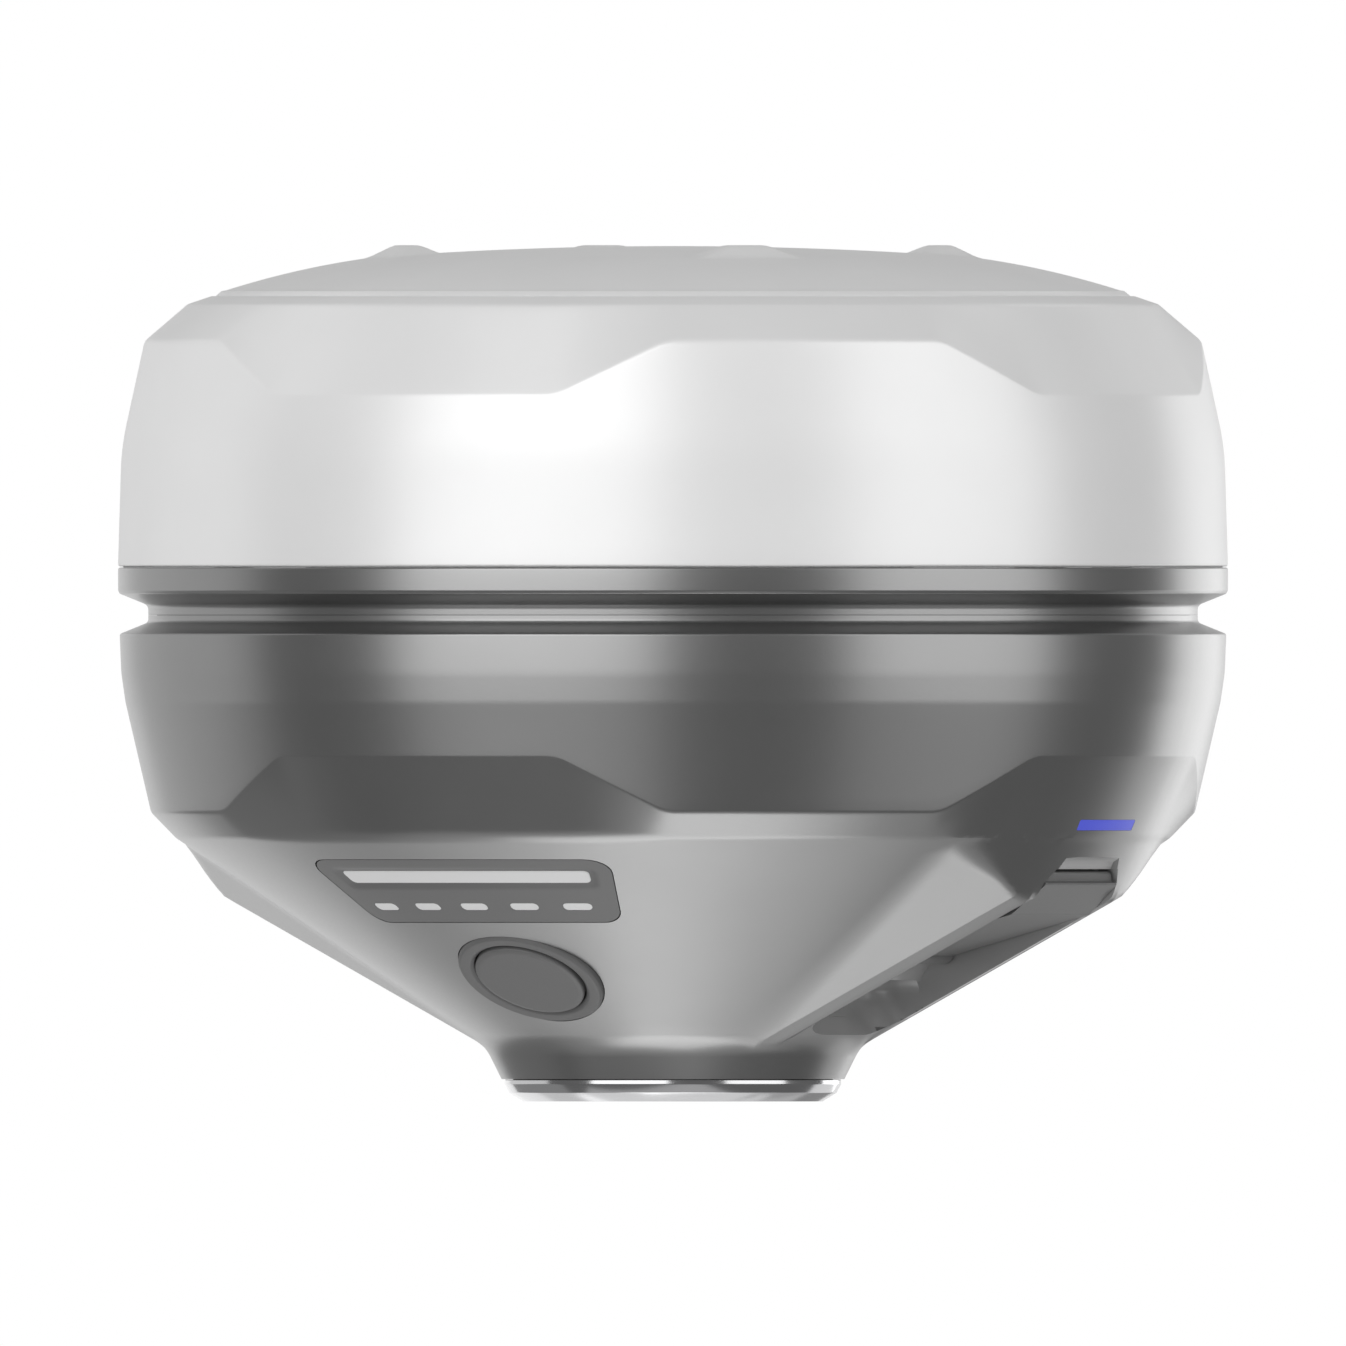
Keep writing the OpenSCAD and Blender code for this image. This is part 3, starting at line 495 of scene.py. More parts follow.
def moulded(name, colour, roughness, grain=0.06, scale=2600.0, mottle=0.05, metallic=0.0, specular=0.5):
    """Moulded plastic or paint: a faint change of tone and gloss, and a fine spark-eroded grain."""
    material, nodes, links, shader = new_material(name)
    coords = nodes.new("ShaderNodeTexCoord")
    broad = nodes.new("ShaderNodeTexNoise")
    broad.inputs["Scale"].default_value = 45.0
    broad.inputs["Detail"].default_value = 3.0
    fine = nodes.new("ShaderNodeTexNoise")
    fine.inputs["Scale"].default_value = scale
    fine.inputs["Detail"].default_value = 2.0
    tone = nodes.new("ShaderNodeValToRGB")
    tone.color_ramp.elements[0].position = 0.3
    tone.color_ramp.elements[1].position = 0.7
    tone.color_ramp.elements[0].color = [c * (1 - mottle) for c in colour] + [1]
    tone.color_ramp.elements[1].color = [min(1, c * (1 + mottle)) for c in colour] + [1]
    gloss = nodes.new("ShaderNodeMapRange")
    gloss.inputs["To Min"].default_value = roughness - 0.03
    gloss.inputs["To Max"].default_value = roughness + 0.03
    bump = nodes.new("ShaderNodeBump")
    bump.inputs["Strength"].default_value = grain
    bump.inputs["Distance"].default_value = 0.00006
    for texture in (broad, fine):
        links.new(coords.outputs["Object"], texture.inputs["Vector"])
    links.new(broad.outputs["Fac"], tone.inputs["Fac"])
    links.new(tone.outputs["Color"], shader.inputs["Base Color"])
    links.new(fine.outputs["Fac"], gloss.inputs["Value"])
    links.new(gloss.outputs["Result"], shader.inputs["Roughness"])
    links.new(fine.outputs["Fac"], bump.inputs["Height"])
    links.new(bump.outputs["Normal"], shader.inputs["Normal"])
    shader.inputs["Metallic"].default_value = metallic
    shader.inputs["Specular IOR Level"].default_value = specular
    return material


def turned_metal(name, colour, roughness, rings=2500.0, depth=0.05):
    """Lathe-turned metal: fine rings about the vertical axis."""
    material, nodes, links, shader = new_material(name)
    coords = nodes.new("ShaderNodeTexCoord")
    squash = nodes.new("ShaderNodeMapping")
    squash.inputs["Scale"].default_value = (1.0, 1.0, 40.0)
    noise = nodes.new("ShaderNodeTexNoise")
    noise.inputs["Scale"].default_value = rings / 40
    noise.inputs["Detail"].default_value = 2.0
    gloss = nodes.new("ShaderNodeMapRange")
    gloss.inputs["To Min"].default_value = max(0.02, roughness - 0.04)
    gloss.inputs["To Max"].default_value = roughness + 0.05
    tone = nodes.new("ShaderNodeValToRGB")
    tone.color_ramp.elements[0].color = [c * 0.94 for c in colour] + [1]
    tone.color_ramp.elements[1].color = list(colour) + [1]
    bump = nodes.new("ShaderNodeBump")
    bump.inputs["Strength"].default_value = depth
    bump.inputs["Distance"].default_value = 0.00002
    links.new(coords.outputs["Object"], squash.inputs["Vector"])
    links.new(squash.outputs["Vector"], noise.inputs["Vector"])
    links.new(noise.outputs["Fac"], gloss.inputs["Value"])
    links.new(noise.outputs["Fac"], tone.inputs["Fac"])
    links.new(noise.outputs["Fac"], bump.inputs["Height"])
    links.new(tone.outputs["Color"], shader.inputs["Base Color"])
    links.new(gloss.outputs["Result"], shader.inputs["Roughness"])
    links.new(bump.outputs["Normal"], shader.inputs["Normal"])
    shader.inputs["Metallic"].default_value = 1.0
    return material


SHELL_WHITE = moulded("white_shell", (0.91, 0.91, 0.91), 0.34, mottle=0.015, metallic=0.22, specular=0.0)
BODY_GREY = moulded("body_grey", (0.31, 0.31, 0.31), 0.30, mottle=0.03, metallic=0.9)
# Painted light: a lighter, less metallic copy of the body grey for the faces inside the port recesses,
# standing in for light bounced into them
RECESS_PAINTED_LIGHT_GREY = moulded("port_grey", (0.46, 0.46, 0.46), 0.36, mottle=0.03, grain=0.12, metallic=0.5)
DOOR_GREY = moulded("door_grey", (0.17, 0.17, 0.17), 0.38, mottle=0.03, grain=0.12, metallic=0.3)
PANEL_GREY = moulded("panel_grey", (0.15, 0.15, 0.15), 0.45, mottle=0.03)
CAP_GREY = moulded("cap_grey", (0.15, 0.15, 0.15), 0.5, mottle=0.04, grain=0.12)
LENS_GREY = moulded("lens_grey", (0.86, 0.86, 0.86), 0.35, mottle=0.02)
LENS_BLUE = moulded("lens_blue", (0.11, 0.14, 0.92), 0.35, mottle=0.03, specular=0.3)
SEAL_BLACK = moulded("seal_black", (0.02, 0.02, 0.02), 0.6, mottle=0.1, grain=0.1)
STEEL = turned_metal("polished_steel", (0.64, 0.64, 0.65), 0.14)
SCREW_STEEL = turned_metal("screw_steel", (0.62, 0.62, 0.64), 0.28)
TIN = turned_metal("tin_lid", (0.68, 0.68, 0.68), 0.4)
GOLD = turned_metal("gold_brass", (0.72, 0.53, 0.25), 0.22)
ALLOY = turned_metal("chassis_alloy", (0.7, 0.7, 0.72), 0.36)
BOARD = moulded("board", (0.02, 0.12, 0.06), 0.4, mottle=0.15)
CERAMIC = moulded("patch_ceramic", (0.70, 0.66, 0.58), 0.6, mottle=0.05)
WRAP = moulded("cell_wrap", (0.05, 0.18, 0.40), 0.3, mottle=0.06)
BLACK_PLASTIC = moulded("black_plastic", (0.03, 0.03, 0.03), 0.5, mottle=0.1)
WIRE_RED = moulded("wire_red", (0.4, 0.03, 0.02), 0.5, mottle=0.06)

BY_SLOT = {
    "white_shell": SHELL_WHITE, "body_grey": BODY_GREY, "panel_grey": PANEL_GREY, "light_lens": LENS_GREY,
    "blue_lens": LENS_BLUE, "button_grey": CAP_GREY, "polished_steel": STEEL, "plain_steel": SCREW_STEEL,
    "tin_lid": TIN, "gold_brass": GOLD, "seal_rubber": SEAL_BLACK, "board": BOARD, "patch_ceramic": CERAMIC,
    "chassis_alloy": ALLOY, "cell_wrap": WRAP, "black_plastic": BLACK_PLASTIC, "wire_red": WIRE_RED,
    "wire_black": SEAL_BLACK,
}
SLOT_OF = {part["node"]: part["material_slot"] for part in frame["record"]["subparts"]}

for node_name, cad_object in CAD.items():
    cad_object.data.materials.clear()
    cad_object.data.materials.append(BY_SLOT[SLOT_OF[node_name]])


def place(piece, body, node, material=None):
    """The piece stands for a CAD node: it rides on its body and takes its slot's finish."""
    piece.data.materials.clear()
    piece.data.materials.append(material or BY_SLOT[SLOT_OF[node]])
    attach(piece, body)
    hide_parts(node)
    return piece


# ---------------------------------------------------------------- ports

PORT_HALF = 10.0
HINGE = port_point(-12, 0.8)
# The chamber behind a door, in the port's frame: back, front, half width and top
CHAMBER = (-6.5, 7.0, 7.6, 10.5)
# Height of the ledge that the door's seal closes on, in the port's frame
LAND = 2.15
# Half width and height of the corners of a door's upper end
TIP = [(9.7, 21.5), (8.5, 26.4), (6.9, 27.8)]


def hinge_frame(u, v, w):
    return (HINGE[0] + u, w, HINGE[1] + v)


def circle(radius, steps=48):
    turns = [2 * math.pi * k / steps for k in range(steps)]
    return [(radius * math.cos(t), radius * math.sin(t)) for t in turns]


def both_sides(right):
    """A closed outline from its right half, listed upwards, and the mirror image of that half."""
    return [(-right[0][0], right[0][1])] + right + [(-w, h) for w, h in reversed(right[1:])]


def block(name, low, high, at=lambda x, y, z: (x, y, z)):
    """A box between two corners, mapped by a frame."""
    outline = [(low[0], low[1]), (high[0], low[1]), (high[0], high[1]), (low[0], high[1])]
    return prism(name, outline, at, low[2], high[2])


def port_walls():
    """Solid round a port's recess and its chamber, on the +X side."""
    sides = prism("port_sides", [
        (19.3, 9.6), (24.6, 10.5), (54.8, ridge_z(54.8) + 1.8), (57, 30.4), (58, 33.4), (53.5, 32.4),
        port_point(9, 4.2), port_point(-10, 4.2), (29.5, 21), (27.5, 17.2), (19.3, 17.2),
    ], plane_xz, -12, 12)
    back, front, half, top = CHAMBER
    box = block("port_box", (back - 1.8, -half - 2, 2), (front + 1.8, half + 2, top + 1.8), in_port)
    return [sides, box]


def recess_outline(z, shrink):
    """Plan of the deep end of a port's recess at height z: column, hollow corners and side walls."""
    column = mix(24.45, 21.5, (z - 8) / 5) if z < 13 else 21.5 - 0.1 * (z - 13)
    column += shrink
    half = PORT_HALF - shrink
    fillet = 4.2
    centre_x = math.sqrt((column + fillet) ** 2 - (half - fillet) ** 2)
    lean = math.atan2(half - fillet, centre_x)
    end = 29.8 - shrink
    side = [(end, half), (mix(end, centre_x, 0.5), half)]
    for k in range(9):
        a = mix(math.pi / 2, math.pi + lean, k / 8)
        side.append((centre_x + fillet * math.cos(a), half - fillet + fillet * math.sin(a)))
    across = []
    for k in range(1, 8):
        a = mix(lean, -lean, k / 8)
        across.append((column * math.cos(a), column * math.sin(a)))
    return side + across + [(x, -y) for x, y in reversed(side)]


def recess_tool():
    """The deep end of the recess, with a rounded ceiling."""
    levels = [(3.0, 0), (8, 0), (9, 0), (10, 0), (11, 0), (12, 0), (13, 0)]
    for k in range(1, 6):
        a = math.radians(18 * k)
        levels.append((13 + 1.9 * math.sin(a), 1.9 * (1 - math.cos(a))))
    bm = bmesh.new()
    rings = [[bm.verts.new((x, y, z)) for x, y in recess_outline(z, shrink)] for z, shrink in levels]
    for low, high in zip(rings, rings[1:]):
        for j in range(len(low)):
            k = (j + 1) % len(low)
            bm.faces.new((low[j], low[k], high[k], high[j]))
    bm.faces.new(list(reversed(rings[0])))
    bm.faces.new(rings[-1])
    return finish_mesh("recess_tool", bm)


def port_tools():
    """Everything cut away in front of and behind a door, on the +X side."""
    slope = prism("slope_tool", [
        (28.6, 2), (51.5, 2), port_point(8.3, -1), port_point(8.3, LAND), port_point(-11, LAND),
        (30.4, 17.4), (28.6, 14.4),
    ], plane_xz, -PORT_HALF, PORT_HALF)
    narrowed = both_sides([(PORT_HALF, 0), (PORT_HALF, 21.6), (9.3, 24.3)])
    boolean(slope, [prism("slope_mould", narrowed, plane_yz, 20, 70)], "INTERSECT")
    relief = prism("relief_tool", circle(1.8, 24), hinge_frame, -PORT_HALF, PORT_HALF)
    back, front, half, top = CHAMBER
    chamber = block("chamber_tool", (back, -half, 0), (front, half, top), in_port)
    gap = 0.25
    edges = [(w + gap, h + (2 * gap if i == 2 else 0)) for i, (w, h) in enumerate(TIP)]
    ceiling = TIP[2][1] + gap
    room = prism("room_tool", [
        port_point(6, -1), (62, 16), (62, ceiling), (55.15, ceiling), (51.07, 24.1), port_point(6, 2.25),
    ], plane_xz, -PORT_HALF, PORT_HALF)
    mould = prism("room_mould", both_sides([(edges[0][0], 5)] + edges), plane_yz, 20, 70)
    boolean(room, [mould], "INTERSECT")
    scoop = prism("scoop_tool", [
        (56.3, 26.5), (56.9, 28.1), (57.5, 28.9), (58.8, 29.5), (62, 29.5), (62, 26.5),
    ], plane_xz, -9, 9)
    bowl = prism("scoop_mould", both_sides([(8.4, 26.4), (7.1, 28.1), (6.3, 29.5)]), plane_yz, 50, 65)
    boolean(scoop, [bowl], "INTERSECT")
    return [slope, recess_tool(), relief, chamber, room, scoop]


def disc_tool(name, radius, low, high, at=in_button):
    """A round plug between two depths in a frame."""
    return prism(name, circle(radius, 96), at, low, high)


# ---------------------------------------------------------------- front panel

# Heights in millimetres, and half widths, pitch and middles in degrees round the cone
PANEL_Z, PANEL_HALF, PANEL_T = (21.65, 29.15), 22.1, 1.0
BAR_Z, BAR_HALF, BAR_MIDDLE = (26.2, 27.6), 18.7, 0.3
STATUS_Z, STATUS_HALF, STATUS_PITCH, STATUS_MIDDLE = (23.1, 23.9), 2.15, 8.15, -0.3
LIGHT_T = 0.6
RADIO_LIGHT_Z, RADIO_LIGHT_HALF = (32.73, 34.0), 6.25
# Radius of the cone at the panel's middle, the bar and the status lights
PANEL_R, BAR_R, STATUS_R = 50.0, 53.0, 47.0
# One millimetre along the panel's skin, as height and as degrees round the cone
RISE, SWEEP = 0.6, 1.1


def on_cone(angle, z, depth):
    """A point at an angle from the front, a height on the cone's skin, and a depth below the skin."""
    r = cone_r(z) - depth * math.sin(CONE_TILT)
    a = math.radians(angle - 90)
    return (r * math.cos(a), r * math.sin(a), z + depth * math.cos(CONE_TILT))


def on_facet(angle, z, depth):
    """The same on the flat side above the radio port, with the angle taken from +X."""
    r = CONE_TOP[0] + (z - CONE_TOP[1]) / FACET_SLOPE - depth
    a = math.radians(angle)
    return (r * math.cos(a), r * math.sin(a), z)


def patch_outline(half, z_range, radii, stretch, r, middle=0.0, steps=6):
    """A rounded outline on a slope, as (angle, height) points, anticlockwise from the lower left corner.
    The radii are those of the lower and the upper corners, and stretch is the slope's length per height."""
    out = []
    corners = [(-1, 0, radii[0], 180), (1, 0, radii[0], 270), (1, 1, radii[1], 0), (-1, 1, radii[1], 90)]
    for side, top, radius, start in corners:
        wide = math.degrees(radius / r)
        tall = radius / stretch
        for k in range(steps + 1):
            t = math.radians(start + 90 * k / steps)
            a = middle + side * (half - wide) + wide * math.cos(t)
            out.append((a, z_range[top] + (tall if top == 0 else -tall) + tall * math.sin(t)))
    return out


def span_at(outline, angle):
    """Lowest and highest point of a closed (angle, height) outline at an angle."""
    heights = []
    for (a0, z0), (a1, z1) in zip(outline, outline[1:] + outline[:1]):
        if min(a0, a1) <= angle <= max(a0, a1) and a0 != a1:
            heights.append(mix(z0, z1, (angle - a0) / (a1 - a0)))
    return min(heights), max(heights)


def patch(name, outline, top, bottom, at=on_cone, rows=6, step=0.7):
    """A solid under an outline that follows a curved face. The top is a depth, or a function of the
    angle and the height that gives it."""
    low, high = min(a for a, _ in outline), max(a for a, _ in outline)
    inset = 1e-4
    stops = {round(clamp(a, low + inset, high - inset), 5) for a, _ in outline}
    gaps = sorted(stops)
    for a0, a1 in zip(gaps, gaps[1:]):
        pieces = max(1, int((a1 - a0) / step))
        stops |= {mix(a0, a1, k / pieces) for k in range(1, pieces)}
    depth = top if callable(top) else lambda a, z: top
    bm = bmesh.new()
    columns = []
    for a in sorted(stops):
        z0, z1 = span_at(outline, a)
        heights = [mix(z0, z1, k / rows) for k in range(rows + 1)]
        upper = [bm.verts.new(at(a, z, depth(a, z))) for z in heights]
        columns.append(upper + [bm.verts.new(at(a, z, bottom)) for z in reversed(heights)])
    for here, there in zip(columns, columns[1:]):
        for j in range(len(here)):
            k = (j + 1) % len(here)
            bm.faces.new((here[j], there[j], there[k], here[k]))
    for column in (columns[0], columns[-1]):
        for j in range(rows):
            bm.faces.new((column[j], column[j + 1], column[-2 - j], column[-1 - j]))
    return finish_mesh(name, bm)


SLANT = 1 / math.sin(CONE_TILT)


def panel_outline(grow):
    heights = (PANEL_Z[0] - grow * RISE, PANEL_Z[1] + grow * RISE)
    return patch_outline(PANEL_HALF + grow * SWEEP, heights, (2.4, 3.0), SLANT, PANEL_R)


def bar_outline(grow):
    heights = (BAR_Z[0] - grow * RISE, BAR_Z[1] + grow * RISE)
    return patch_outline(BAR_HALF + grow * SWEEP, heights, (0.7, 0.7), SLANT, BAR_R, BAR_MIDDLE)


def status_outline(index, grow):
    heights = (STATUS_Z[0] - grow * RISE, STATUS_Z[1] + grow * RISE)
    middle = STATUS_MIDDLE + (index - 2) * STATUS_PITCH
    return patch_outline(STATUS_HALF + grow * SWEEP, heights, (0.6, 0.6), SLANT, STATUS_R, middle)


def dish(angle, z):
    """Depth of the panel's face: it falls away in a shallow dish round the bar."""
    across = max(0.0, abs(angle - BAR_MIDDLE) - BAR_HALF) * math.radians(BAR_R)
    up = max(0.0, BAR_Z[0] - z, z - BAR_Z[1]) * SLANT
    return 0.28 * (1 - ease((math.hypot(across, up) - 0.1) / 1.0))


# ---------------------------------------------------------------- the two upper shells and the band


def make_radome():
    piece = grid_solid("radome_shell", dome_columns(), 50, closed=False)
    place(piece, "receiver", "radome")


def make_bumper():
    columns = [turned(high_outline(a), [a])[0] for a in SKIN_ANGLES]
    place(grid_solid("shock_bumper_shell", columns, 50), "receiver", "shock_bumper")


def make_band():
    corners = [
        (57.4, 58.72, 0.1), (63.35, 58.72, 0.06), (63.35, 59.9, 0.8), (66.8, 61.3, 0.3), (67.0, 61.7, 0.3),
        (67.0, 64.46, 0.25), (62.2, 64.46, 0.2), (62.2, 61.3, 0.2), (57.4, 61.3, 0.1),
    ]
    outline = rounded([c[:2] for c in corners], [c[2] for c in corners], 4, closed=True)
    piece = lathe("middle_ring_band", outline)
    boolean(piece, [post("ring_screw_holes", 1.6, SCREW_RING, SCREW_START, 8, 57, 64)])
    place(piece, "receiver", "middle_ring")


# ---------------------------------------------------------------- lower housing

SCREW_RING, SCREW_START = 59.6, 22.5
POST_RING, POST_START, POST_TOP = 54.0, 45.0, 57.2


def post(name, radius, ring_r, start, count, low, high, steps=32):
    """Round posts on a circle about the axis. Their lower ends stand at a height, or on low(r)."""
    bm = bmesh.new()
    for i in range(count):
        a = math.radians(start + 360 * i / count)
        ends = ([], [])
        for k in range(steps):
            t = 2 * math.pi * k / steps
            x = ring_r * math.cos(a) + radius * math.cos(t)
            y = ring_r * math.sin(a) + radius * math.sin(t)
            foot = low(math.hypot(x, y)) if callable(low) else low
            ends[0].append(bm.verts.new((x, y, foot)))
            ends[1].append(bm.verts.new((x, y, high)))
        for j in range(steps):
            k = (j + 1) % steps
            bm.faces.new((ends[0][j], ends[0][k], ends[1][k], ends[1][j]))
        bm.faces.new(list(reversed(ends[0])))
        bm.faces.new(ends[1])
    return finish_mesh(name, bm)


def tube_tool(name, r_in, r_out, low, high):
    """A ring between two radii and two heights."""
    return lathe(name, [(r_in, low), (r_out, low), (r_out, high), (r_in, high)], 160)


def make_housing():
    housing = grid_solid("lower_housing_shell", housing_columns(), 50)
    solid = [
        post("ring_bosses", 3.0, SCREW_RING, SCREW_START, 8, 51.0, 58.7),
        post("chassis_posts", 3.5, POST_RING, POST_START, 4, lambda r: cone_z(r) + 1, POST_TOP),
        disc_tool("button_boss", 11.2, 2, 8.6),
    ]
    for wall in port_walls():
        solid += [wall, mirrored(wall, wall.name + "_twin")]
    boolean(housing, solid, "UNION")
    cuts = []
    for tool in port_tools():
        cuts += [tool, mirrored(tool, tool.name + "_twin")]
    cuts += [
        disc_tool("bezel_seat", 9.22, -6, 2.2),
        disc_tool("button_bore", 7.05, 1, 8),
        disc_tool("boss_bore", 9.9, 2.9, 16),
        patch("panel_seat", panel_outline(0.13), -3, PANEL_T),
        patch("bar_slot", patch_outline(15, (26.6, 28.6), (0.1, 0.1), SLANT, BAR_R), 0.5, 5),
        patch("status_slot", patch_outline(15, (23.4, 25.6), (0.1, 0.1), SLANT, STATUS_R), 0.5, 5),
        patch("radio_light_slot", radio_light_outline(0.02), -2, 5.4, on_facet),
        disc_tool("radio_jack_hole", 5.55, 5, 17, in_port),
        mirrored(block("usb_hole", (1.27, -4.57, 5), (4.73, 4.57, 17), in_port), "usb_slot"),
        mirrored(block("sim_hole", (-3.9, -6.6, 5), (-2.1, 6.6, 17), in_port), "sim_slot"),
        post("mount_holes", 1.7, 14.0, 45, 4, 2, 12),
        post("boss_holes", 1.25, SCREW_RING, SCREW_START, 8, 51.8, 62),
        post("post_holes", 1.25, POST_RING, POST_START, 4, 47.0, 60),
        tube_tool("seal_groove", 61.3, 62.3, 57.7, 60),
    ]
    boolean(housing, cuts, sharp=40)
    for spare in ("usb_hole", "sim_hole"):
        bpy.data.objects.remove(bpy.data.objects[spare])
    place(housing, "receiver", "lower_housing")
    # Painted light: the recess faces take a lighter grey that stands in for bounced light
    paint_recess_light(housing)


def paint_recess_light(housing):
    """The faces inside the two port recesses get a rougher, less metallic and lighter grey. The lighter grey
    is painted light that stands in for light bounced into the recesses.
    """
    housing.data.materials.append(RECESS_PAINTED_LIGHT_GREY)
    for face in housing.data.polygons:
        x, y, z = (abs(v) / MM for v in face.center)
        if 20 < x < 62 and y < 10.02 and 7.5 < z < 31:
            r = math.hypot(x, y)
            skin = min(cone_z(r), port_underside(x, y, r, FACET_SLOPE))
            if z > skin + 0.12:
                face.material_index = 1


# ---------------------------------------------------------------- pole bushing

THREAD_R, THREAD_PITCH, THREAD_TOP = 7.94, 25.4 / 11, 16.0


def thread_r(angle, z):
    """Radius of the bore at an angle and a height: a 60 degree thread that runs out at both ends."""
    turn = ((z - THREAD_PITCH * angle / 360) / THREAD_PITCH) % 1
    ridge = 1 - abs(2 * turn - 1)
    depth = 1.15 * clamp((ridge - 0.125) / 0.7, 0, 1)
    return THREAD_R - depth * ease((z - 0.9) / 0.8) * ease((THREAD_TOP - 0.6 - z) / 0.8)


def make_bushing():
    shoulder = rounded(
        [(8.7, 0), (18.05, 0), (19.75, 1.05), (20.3, 2.1), (20.3, 2.65), (17.5, 2.65)],
        [0, 0.15, 0.2, 0.25, 0.12, 0], 4,
    )
    above = [(17.5, 5.6), (10.5, 5.6), (10.5, 19), (0, 19)]
    heights = [THREAD_TOP - 0.2 * k for k in range(77)]
    columns = []
    for angle in [1.5 * k for k in range(240)]:
        bore = [(thread_r(angle, z), z) for z in heights]
        outline = [(0, THREAD_TOP)] + bore + shoulder + above
        columns += turned(outline, [angle])
    piece = grid_solid("mount_bushing_steel", columns, 30, closed=False)
    seat = tube_tool("seal_seat", 18.3, 19.3, 2.05, 4)
    boolean(piece, [seat, post("bushing_holes", 1.5, 14.0, 45, 4, 1.6, 7)])
    place(piece, "receiver", "mount_bushing")


# ---------------------------------------------------------------- lights, bezel and button


def make_panel():
    window = patch("indicator_window_face", panel_outline(0), dish, PANEL_T, rows=40, step=0.5)
    slots = [patch("bar_cut", bar_outline(0.03), -1, LIGHT_T)]
    slots += [patch("status_cut_%d" % i, status_outline(i, 0.03), -1, LIGHT_T) for i in range(5)]
    boolean(window, slots)
    place(window, "receiver", "indicator_window")
    bar = patch("battery_bar_lens", bar_outline(0), 0.24, LIGHT_T, rows=4)
    place(bar, "receiver", "battery_light_bar")
    lenses = [patch("status_lens_%d" % i, status_outline(i, 0), 0.02, LIGHT_T, rows=4) for i in range(5)]
    place(joined("status_lenses", lenses), "receiver", "status_light_lenses")


def joined(name, pieces):
    """One object from several."""
    bm = bmesh.new()
    for piece in pieces:
        bm.from_mesh(piece.data)
        bpy.data.objects.remove(piece)
    mesh = bpy.data.meshes.new(name)
    bm.to_mesh(mesh)
    bm.free()
    whole = bpy.data.objects.new(name, mesh)
    bpy.context.scene.collection.objects.link(whole)
    return whole


def radio_light_outline(grow):
    heights = (RADIO_LIGHT_Z[0] - grow, RADIO_LIGHT_Z[1] + grow)
    return patch_outline(RADIO_LIGHT_HALF + grow, heights, (0.15, 0.3), 1.11, 60.7)


def make_radio_light():
    piece = patch("radio_light_lens", radio_light_outline(0), 0.02, 3.4, on_facet)
    place(piece, "receiver", "radio_light")


def make_button():
    bezel = rounded(
        [(7.05, 2.2), (7.05, 0.15), (7.55, -0.22), (8.75, -0.25), (9.1, 0.1), (9.1, 2.2)],
        [0.05, 0.25, 0.5, 0.4, 0.25, 0.05], 5, closed=True,
    )
    place(lathe("power_button_bezel", bezel, 160, at=in_button), "receiver", "button_bezel")
    cap = rounded(
        [(0, -0.42), (6.2, -0.5), (6.85, -0.35), (6.85, 1.5), (2, 1.5), (2, 3.3), (0, 3.3)],
        [0, 1.2, 0.3, 0.1, 0.1, 0.1, 0], 5,
    )
    place(lathe("power_button_cap", cap, 160, closed=False, at=in_button), "button", "power_button")


# ---------------------------------------------------------------- port doors

DOOR_HALF, DOOR_T, BARREL_R, PIN_HOLE = 9.7, 2.0, 1.5, 0.85


def door_master():
    """The +X door: a bent leaf with its hinge barrel, a groove for the seal and a bore for the pin."""
    section = rounded(
        [port_point(-11.6, 0), port_point(8.9, 0.45), (57.1, 26.3), (56.4, 26.6), (57, 27.8), (55.4, 27.8),
         port_point(8, DOOR_T), port_point(-11.6, DOOR_T)],
        [0.1, 0.8, 0.25, 0.15, 0.35, 0.2, 0.5, 0.1], 4, closed=True,
    )
    door = prism("door", section, plane_xz, -DOOR_HALF, DOOR_HALF)
    radii = [0.1, 0.1, 0.6, 0.6, 0.5, 0.5, 0.6, 0.6]
    outline = rounded(both_sides([(DOOR_HALF, 5)] + TIP), radii, 4, closed=True)
    boolean(door, [prism("door_sides", outline, plane_yz, 20, 70)], "INTERSECT")
    barrel = prism("barrel", circle(BARREL_R), hinge_frame, -DOOR_HALF, DOOR_HALF)
    boolean(door, [barrel], "UNION")
    seal = block("seal_cut", (-8.1, -9.2, 1.4), (8.2, 9.2, 4), in_port)
    boolean(seal, [block("seal_core", (-7.0, -8.1, 1), (7.3, 8.1, 5), in_port)])
    boolean(door, [seal, prism("pin_cut", circle(PIN_HOLE), hinge_frame, -12, 12)], sharp=30)
    return door


def make_doors():
    radio = door_master()
    radio.name = radio.data.name = "radio_door_leaf"
    usb = mirrored(radio, "usb_door_leaf")
    place(radio, "radio_door", "radio_door", DOOR_GREY)
    place(usb, "usb_door", "usb_door", DOOR_GREY)


make_radome()
make_bumper()
make_band()
make_housing()
make_bushing()
make_panel()
make_radio_light()
make_button()
make_doors()

# ---------------------------------------------------------------- stage, light and camera, in metres

AZIMUTH = math.radians(30)
VIEW_IN = Vector((-math.sin(AZIMUTH), math.cos(AZIMUTH), 0))
CENTRE_Z = 0.05173

# Soft boxes round the object: first and last direction in degrees to the right of the camera, and
# the radiance of the lowest, low, middle and high part of each, whose heights are BOX_LEVELS
SOFTBOXES = {
    "key": (-58, -3, (0.0, 0.4, 1.6, 2.3)),
    "fill": (36, 83, (0.0, 0.25, 1.4, 1.5)),
    "rim": (125, 158, (0.3, 0.75, 1.9, 0.55)),
    "back_right": (158, 180, (0.45, 0.15, 0.75, 0.25)),
    "back_left": (-180, -150, (0.6, 0.9, 0.95, 0.25)),
    "left": (-150, -95, (0.15, 0.15, 0.65, 0.5)),
}
BOX_LEVELS = [(-1.0, -0.5), (-0.5, -0.18), (-0.18, 0.25), (0.25, 1.0)]
AMBIENT = 0.15


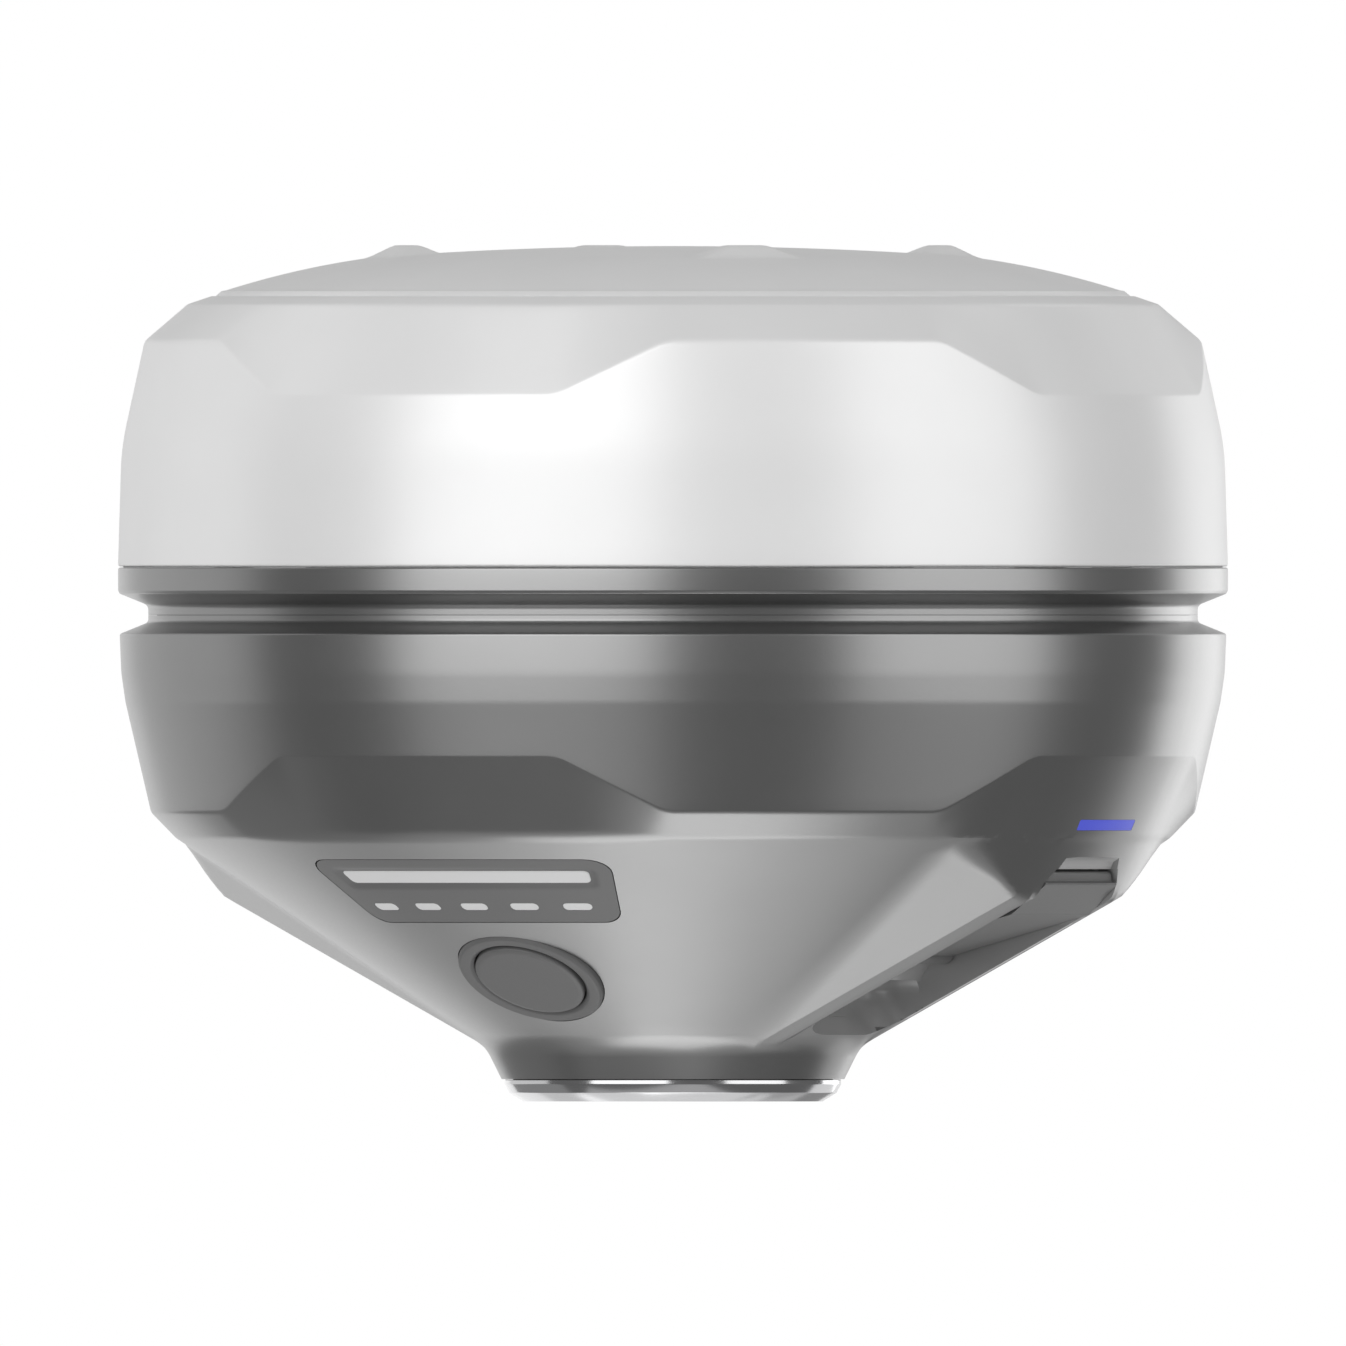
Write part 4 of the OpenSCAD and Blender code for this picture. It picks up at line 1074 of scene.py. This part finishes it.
def around_view(degrees, distance, height):
    """A place round the object, by degrees to the right of the camera as seen from the object."""
    a = math.radians(degrees)
    side = Vector((-VIEW_IN.y, VIEW_IN.x, 0)) * -1
    spot = -VIEW_IN * math.cos(a) + side * math.sin(a)
    return spot * distance + Vector((0, 0, height))


def area_light(name, spot, target, width, height, radiance):
    """A rectangular light that the camera doesn't see, aimed from a spot at a target."""
    light = bpy.data.lights.new(name, "AREA")
    light.shape = "RECTANGLE"
    light.size = width
    light.size_y = height
    light.energy = radiance * math.pi * width * height
    lamp = bpy.data.objects.new(name, light)
    lamp.location = spot
    lamp.rotation_euler = (target - spot).to_track_quat("-Z", "Y").to_euler()
    lamp.visible_camera = False
    bpy.context.scene.collection.objects.link(lamp)


def softbox(name, start, end, low, high, radiance, distance=0.8):
    """An upright soft box that faces the object, between two directions and two heights."""
    spot = around_view((start + end) / 2, distance, (low + high) / 2)
    width = 2 * distance * math.tan(math.radians((end - start) / 2))
    area_light(name, spot, Vector((0, 0, spot.z)), width, high - low, radiance)


def under_light(name, back, down, radiance, size):
    """A square box below the object, which lights the cone."""
    spot = VIEW_IN * back - Vector((0, 0, down))
    area_light(name, spot, Vector((0, 0, 0)), size, size, radiance)


def make_floor():
    bm = bmesh.new()
    bmesh.ops.create_grid(bm, x_segments=2, y_segments=2, size=1.5 / MM)
    floor = finish_mesh("floor", bm)
    floor.location = (0, 0, -0.0002)
    floor.data.materials.append(moulded("floor_paper", (0.86, 0.86, 0.86), 0.8, mottle=0.01))
    for ray in ("visible_diffuse", "visible_glossy", "visible_shadow", "visible_transmission"):
        setattr(floor, ray, False)


def make_world():
    """Even dim light from all round. The camera itself sees plain white."""
    world = bpy.data.worlds.new("studio")
    bpy.context.scene.world = world
    world.use_nodes = True
    nodes, links = world.node_tree.nodes, world.node_tree.links
    ray = nodes.new("ShaderNodeLightPath")
    seen = nodes.new("ShaderNodeMapRange")
    seen.inputs["To Min"].default_value = AMBIENT
    seen.inputs["To Max"].default_value = 1.0
    links.new(ray.outputs["Is Camera Ray"], seen.inputs["Value"])
    links.new(seen.outputs["Result"], nodes["Background"].inputs["Strength"])
    nodes["Background"].inputs["Color"].default_value = (1, 1, 1, 1)


make_floor()
make_world()
under_light("under_back", 0.3, 0.7, 0.4, 0.5)
under_light("under_middle", 0.0, 0.8, 1.5, 0.5)
under_light("under_wide", 0.0, 0.81, 0.35, 1.2)
for box, (start, end, levels) in SOFTBOXES.items():
    for (low, high), radiance in zip(BOX_LEVELS, levels):
        if radiance > 0:
            softbox("%s_%d" % (box, round(100 * low)), start, end, low, high, radiance)

camera_data = bpy.data.cameras.new("camera")
camera_data.type = "ORTHO"
camera_data.ortho_scale = 0.1625
camera = bpy.data.objects.new("camera", camera_data)
camera.location = Vector((0, 0, CENTRE_Z)) - VIEW_IN * 0.6
camera.rotation_euler = (math.pi / 2, 0, AZIMUTH)
bpy.context.scene.collection.objects.link(camera)
bpy.context.scene.camera = camera
bpy.context.scene.view_settings.view_transform = "Standard"
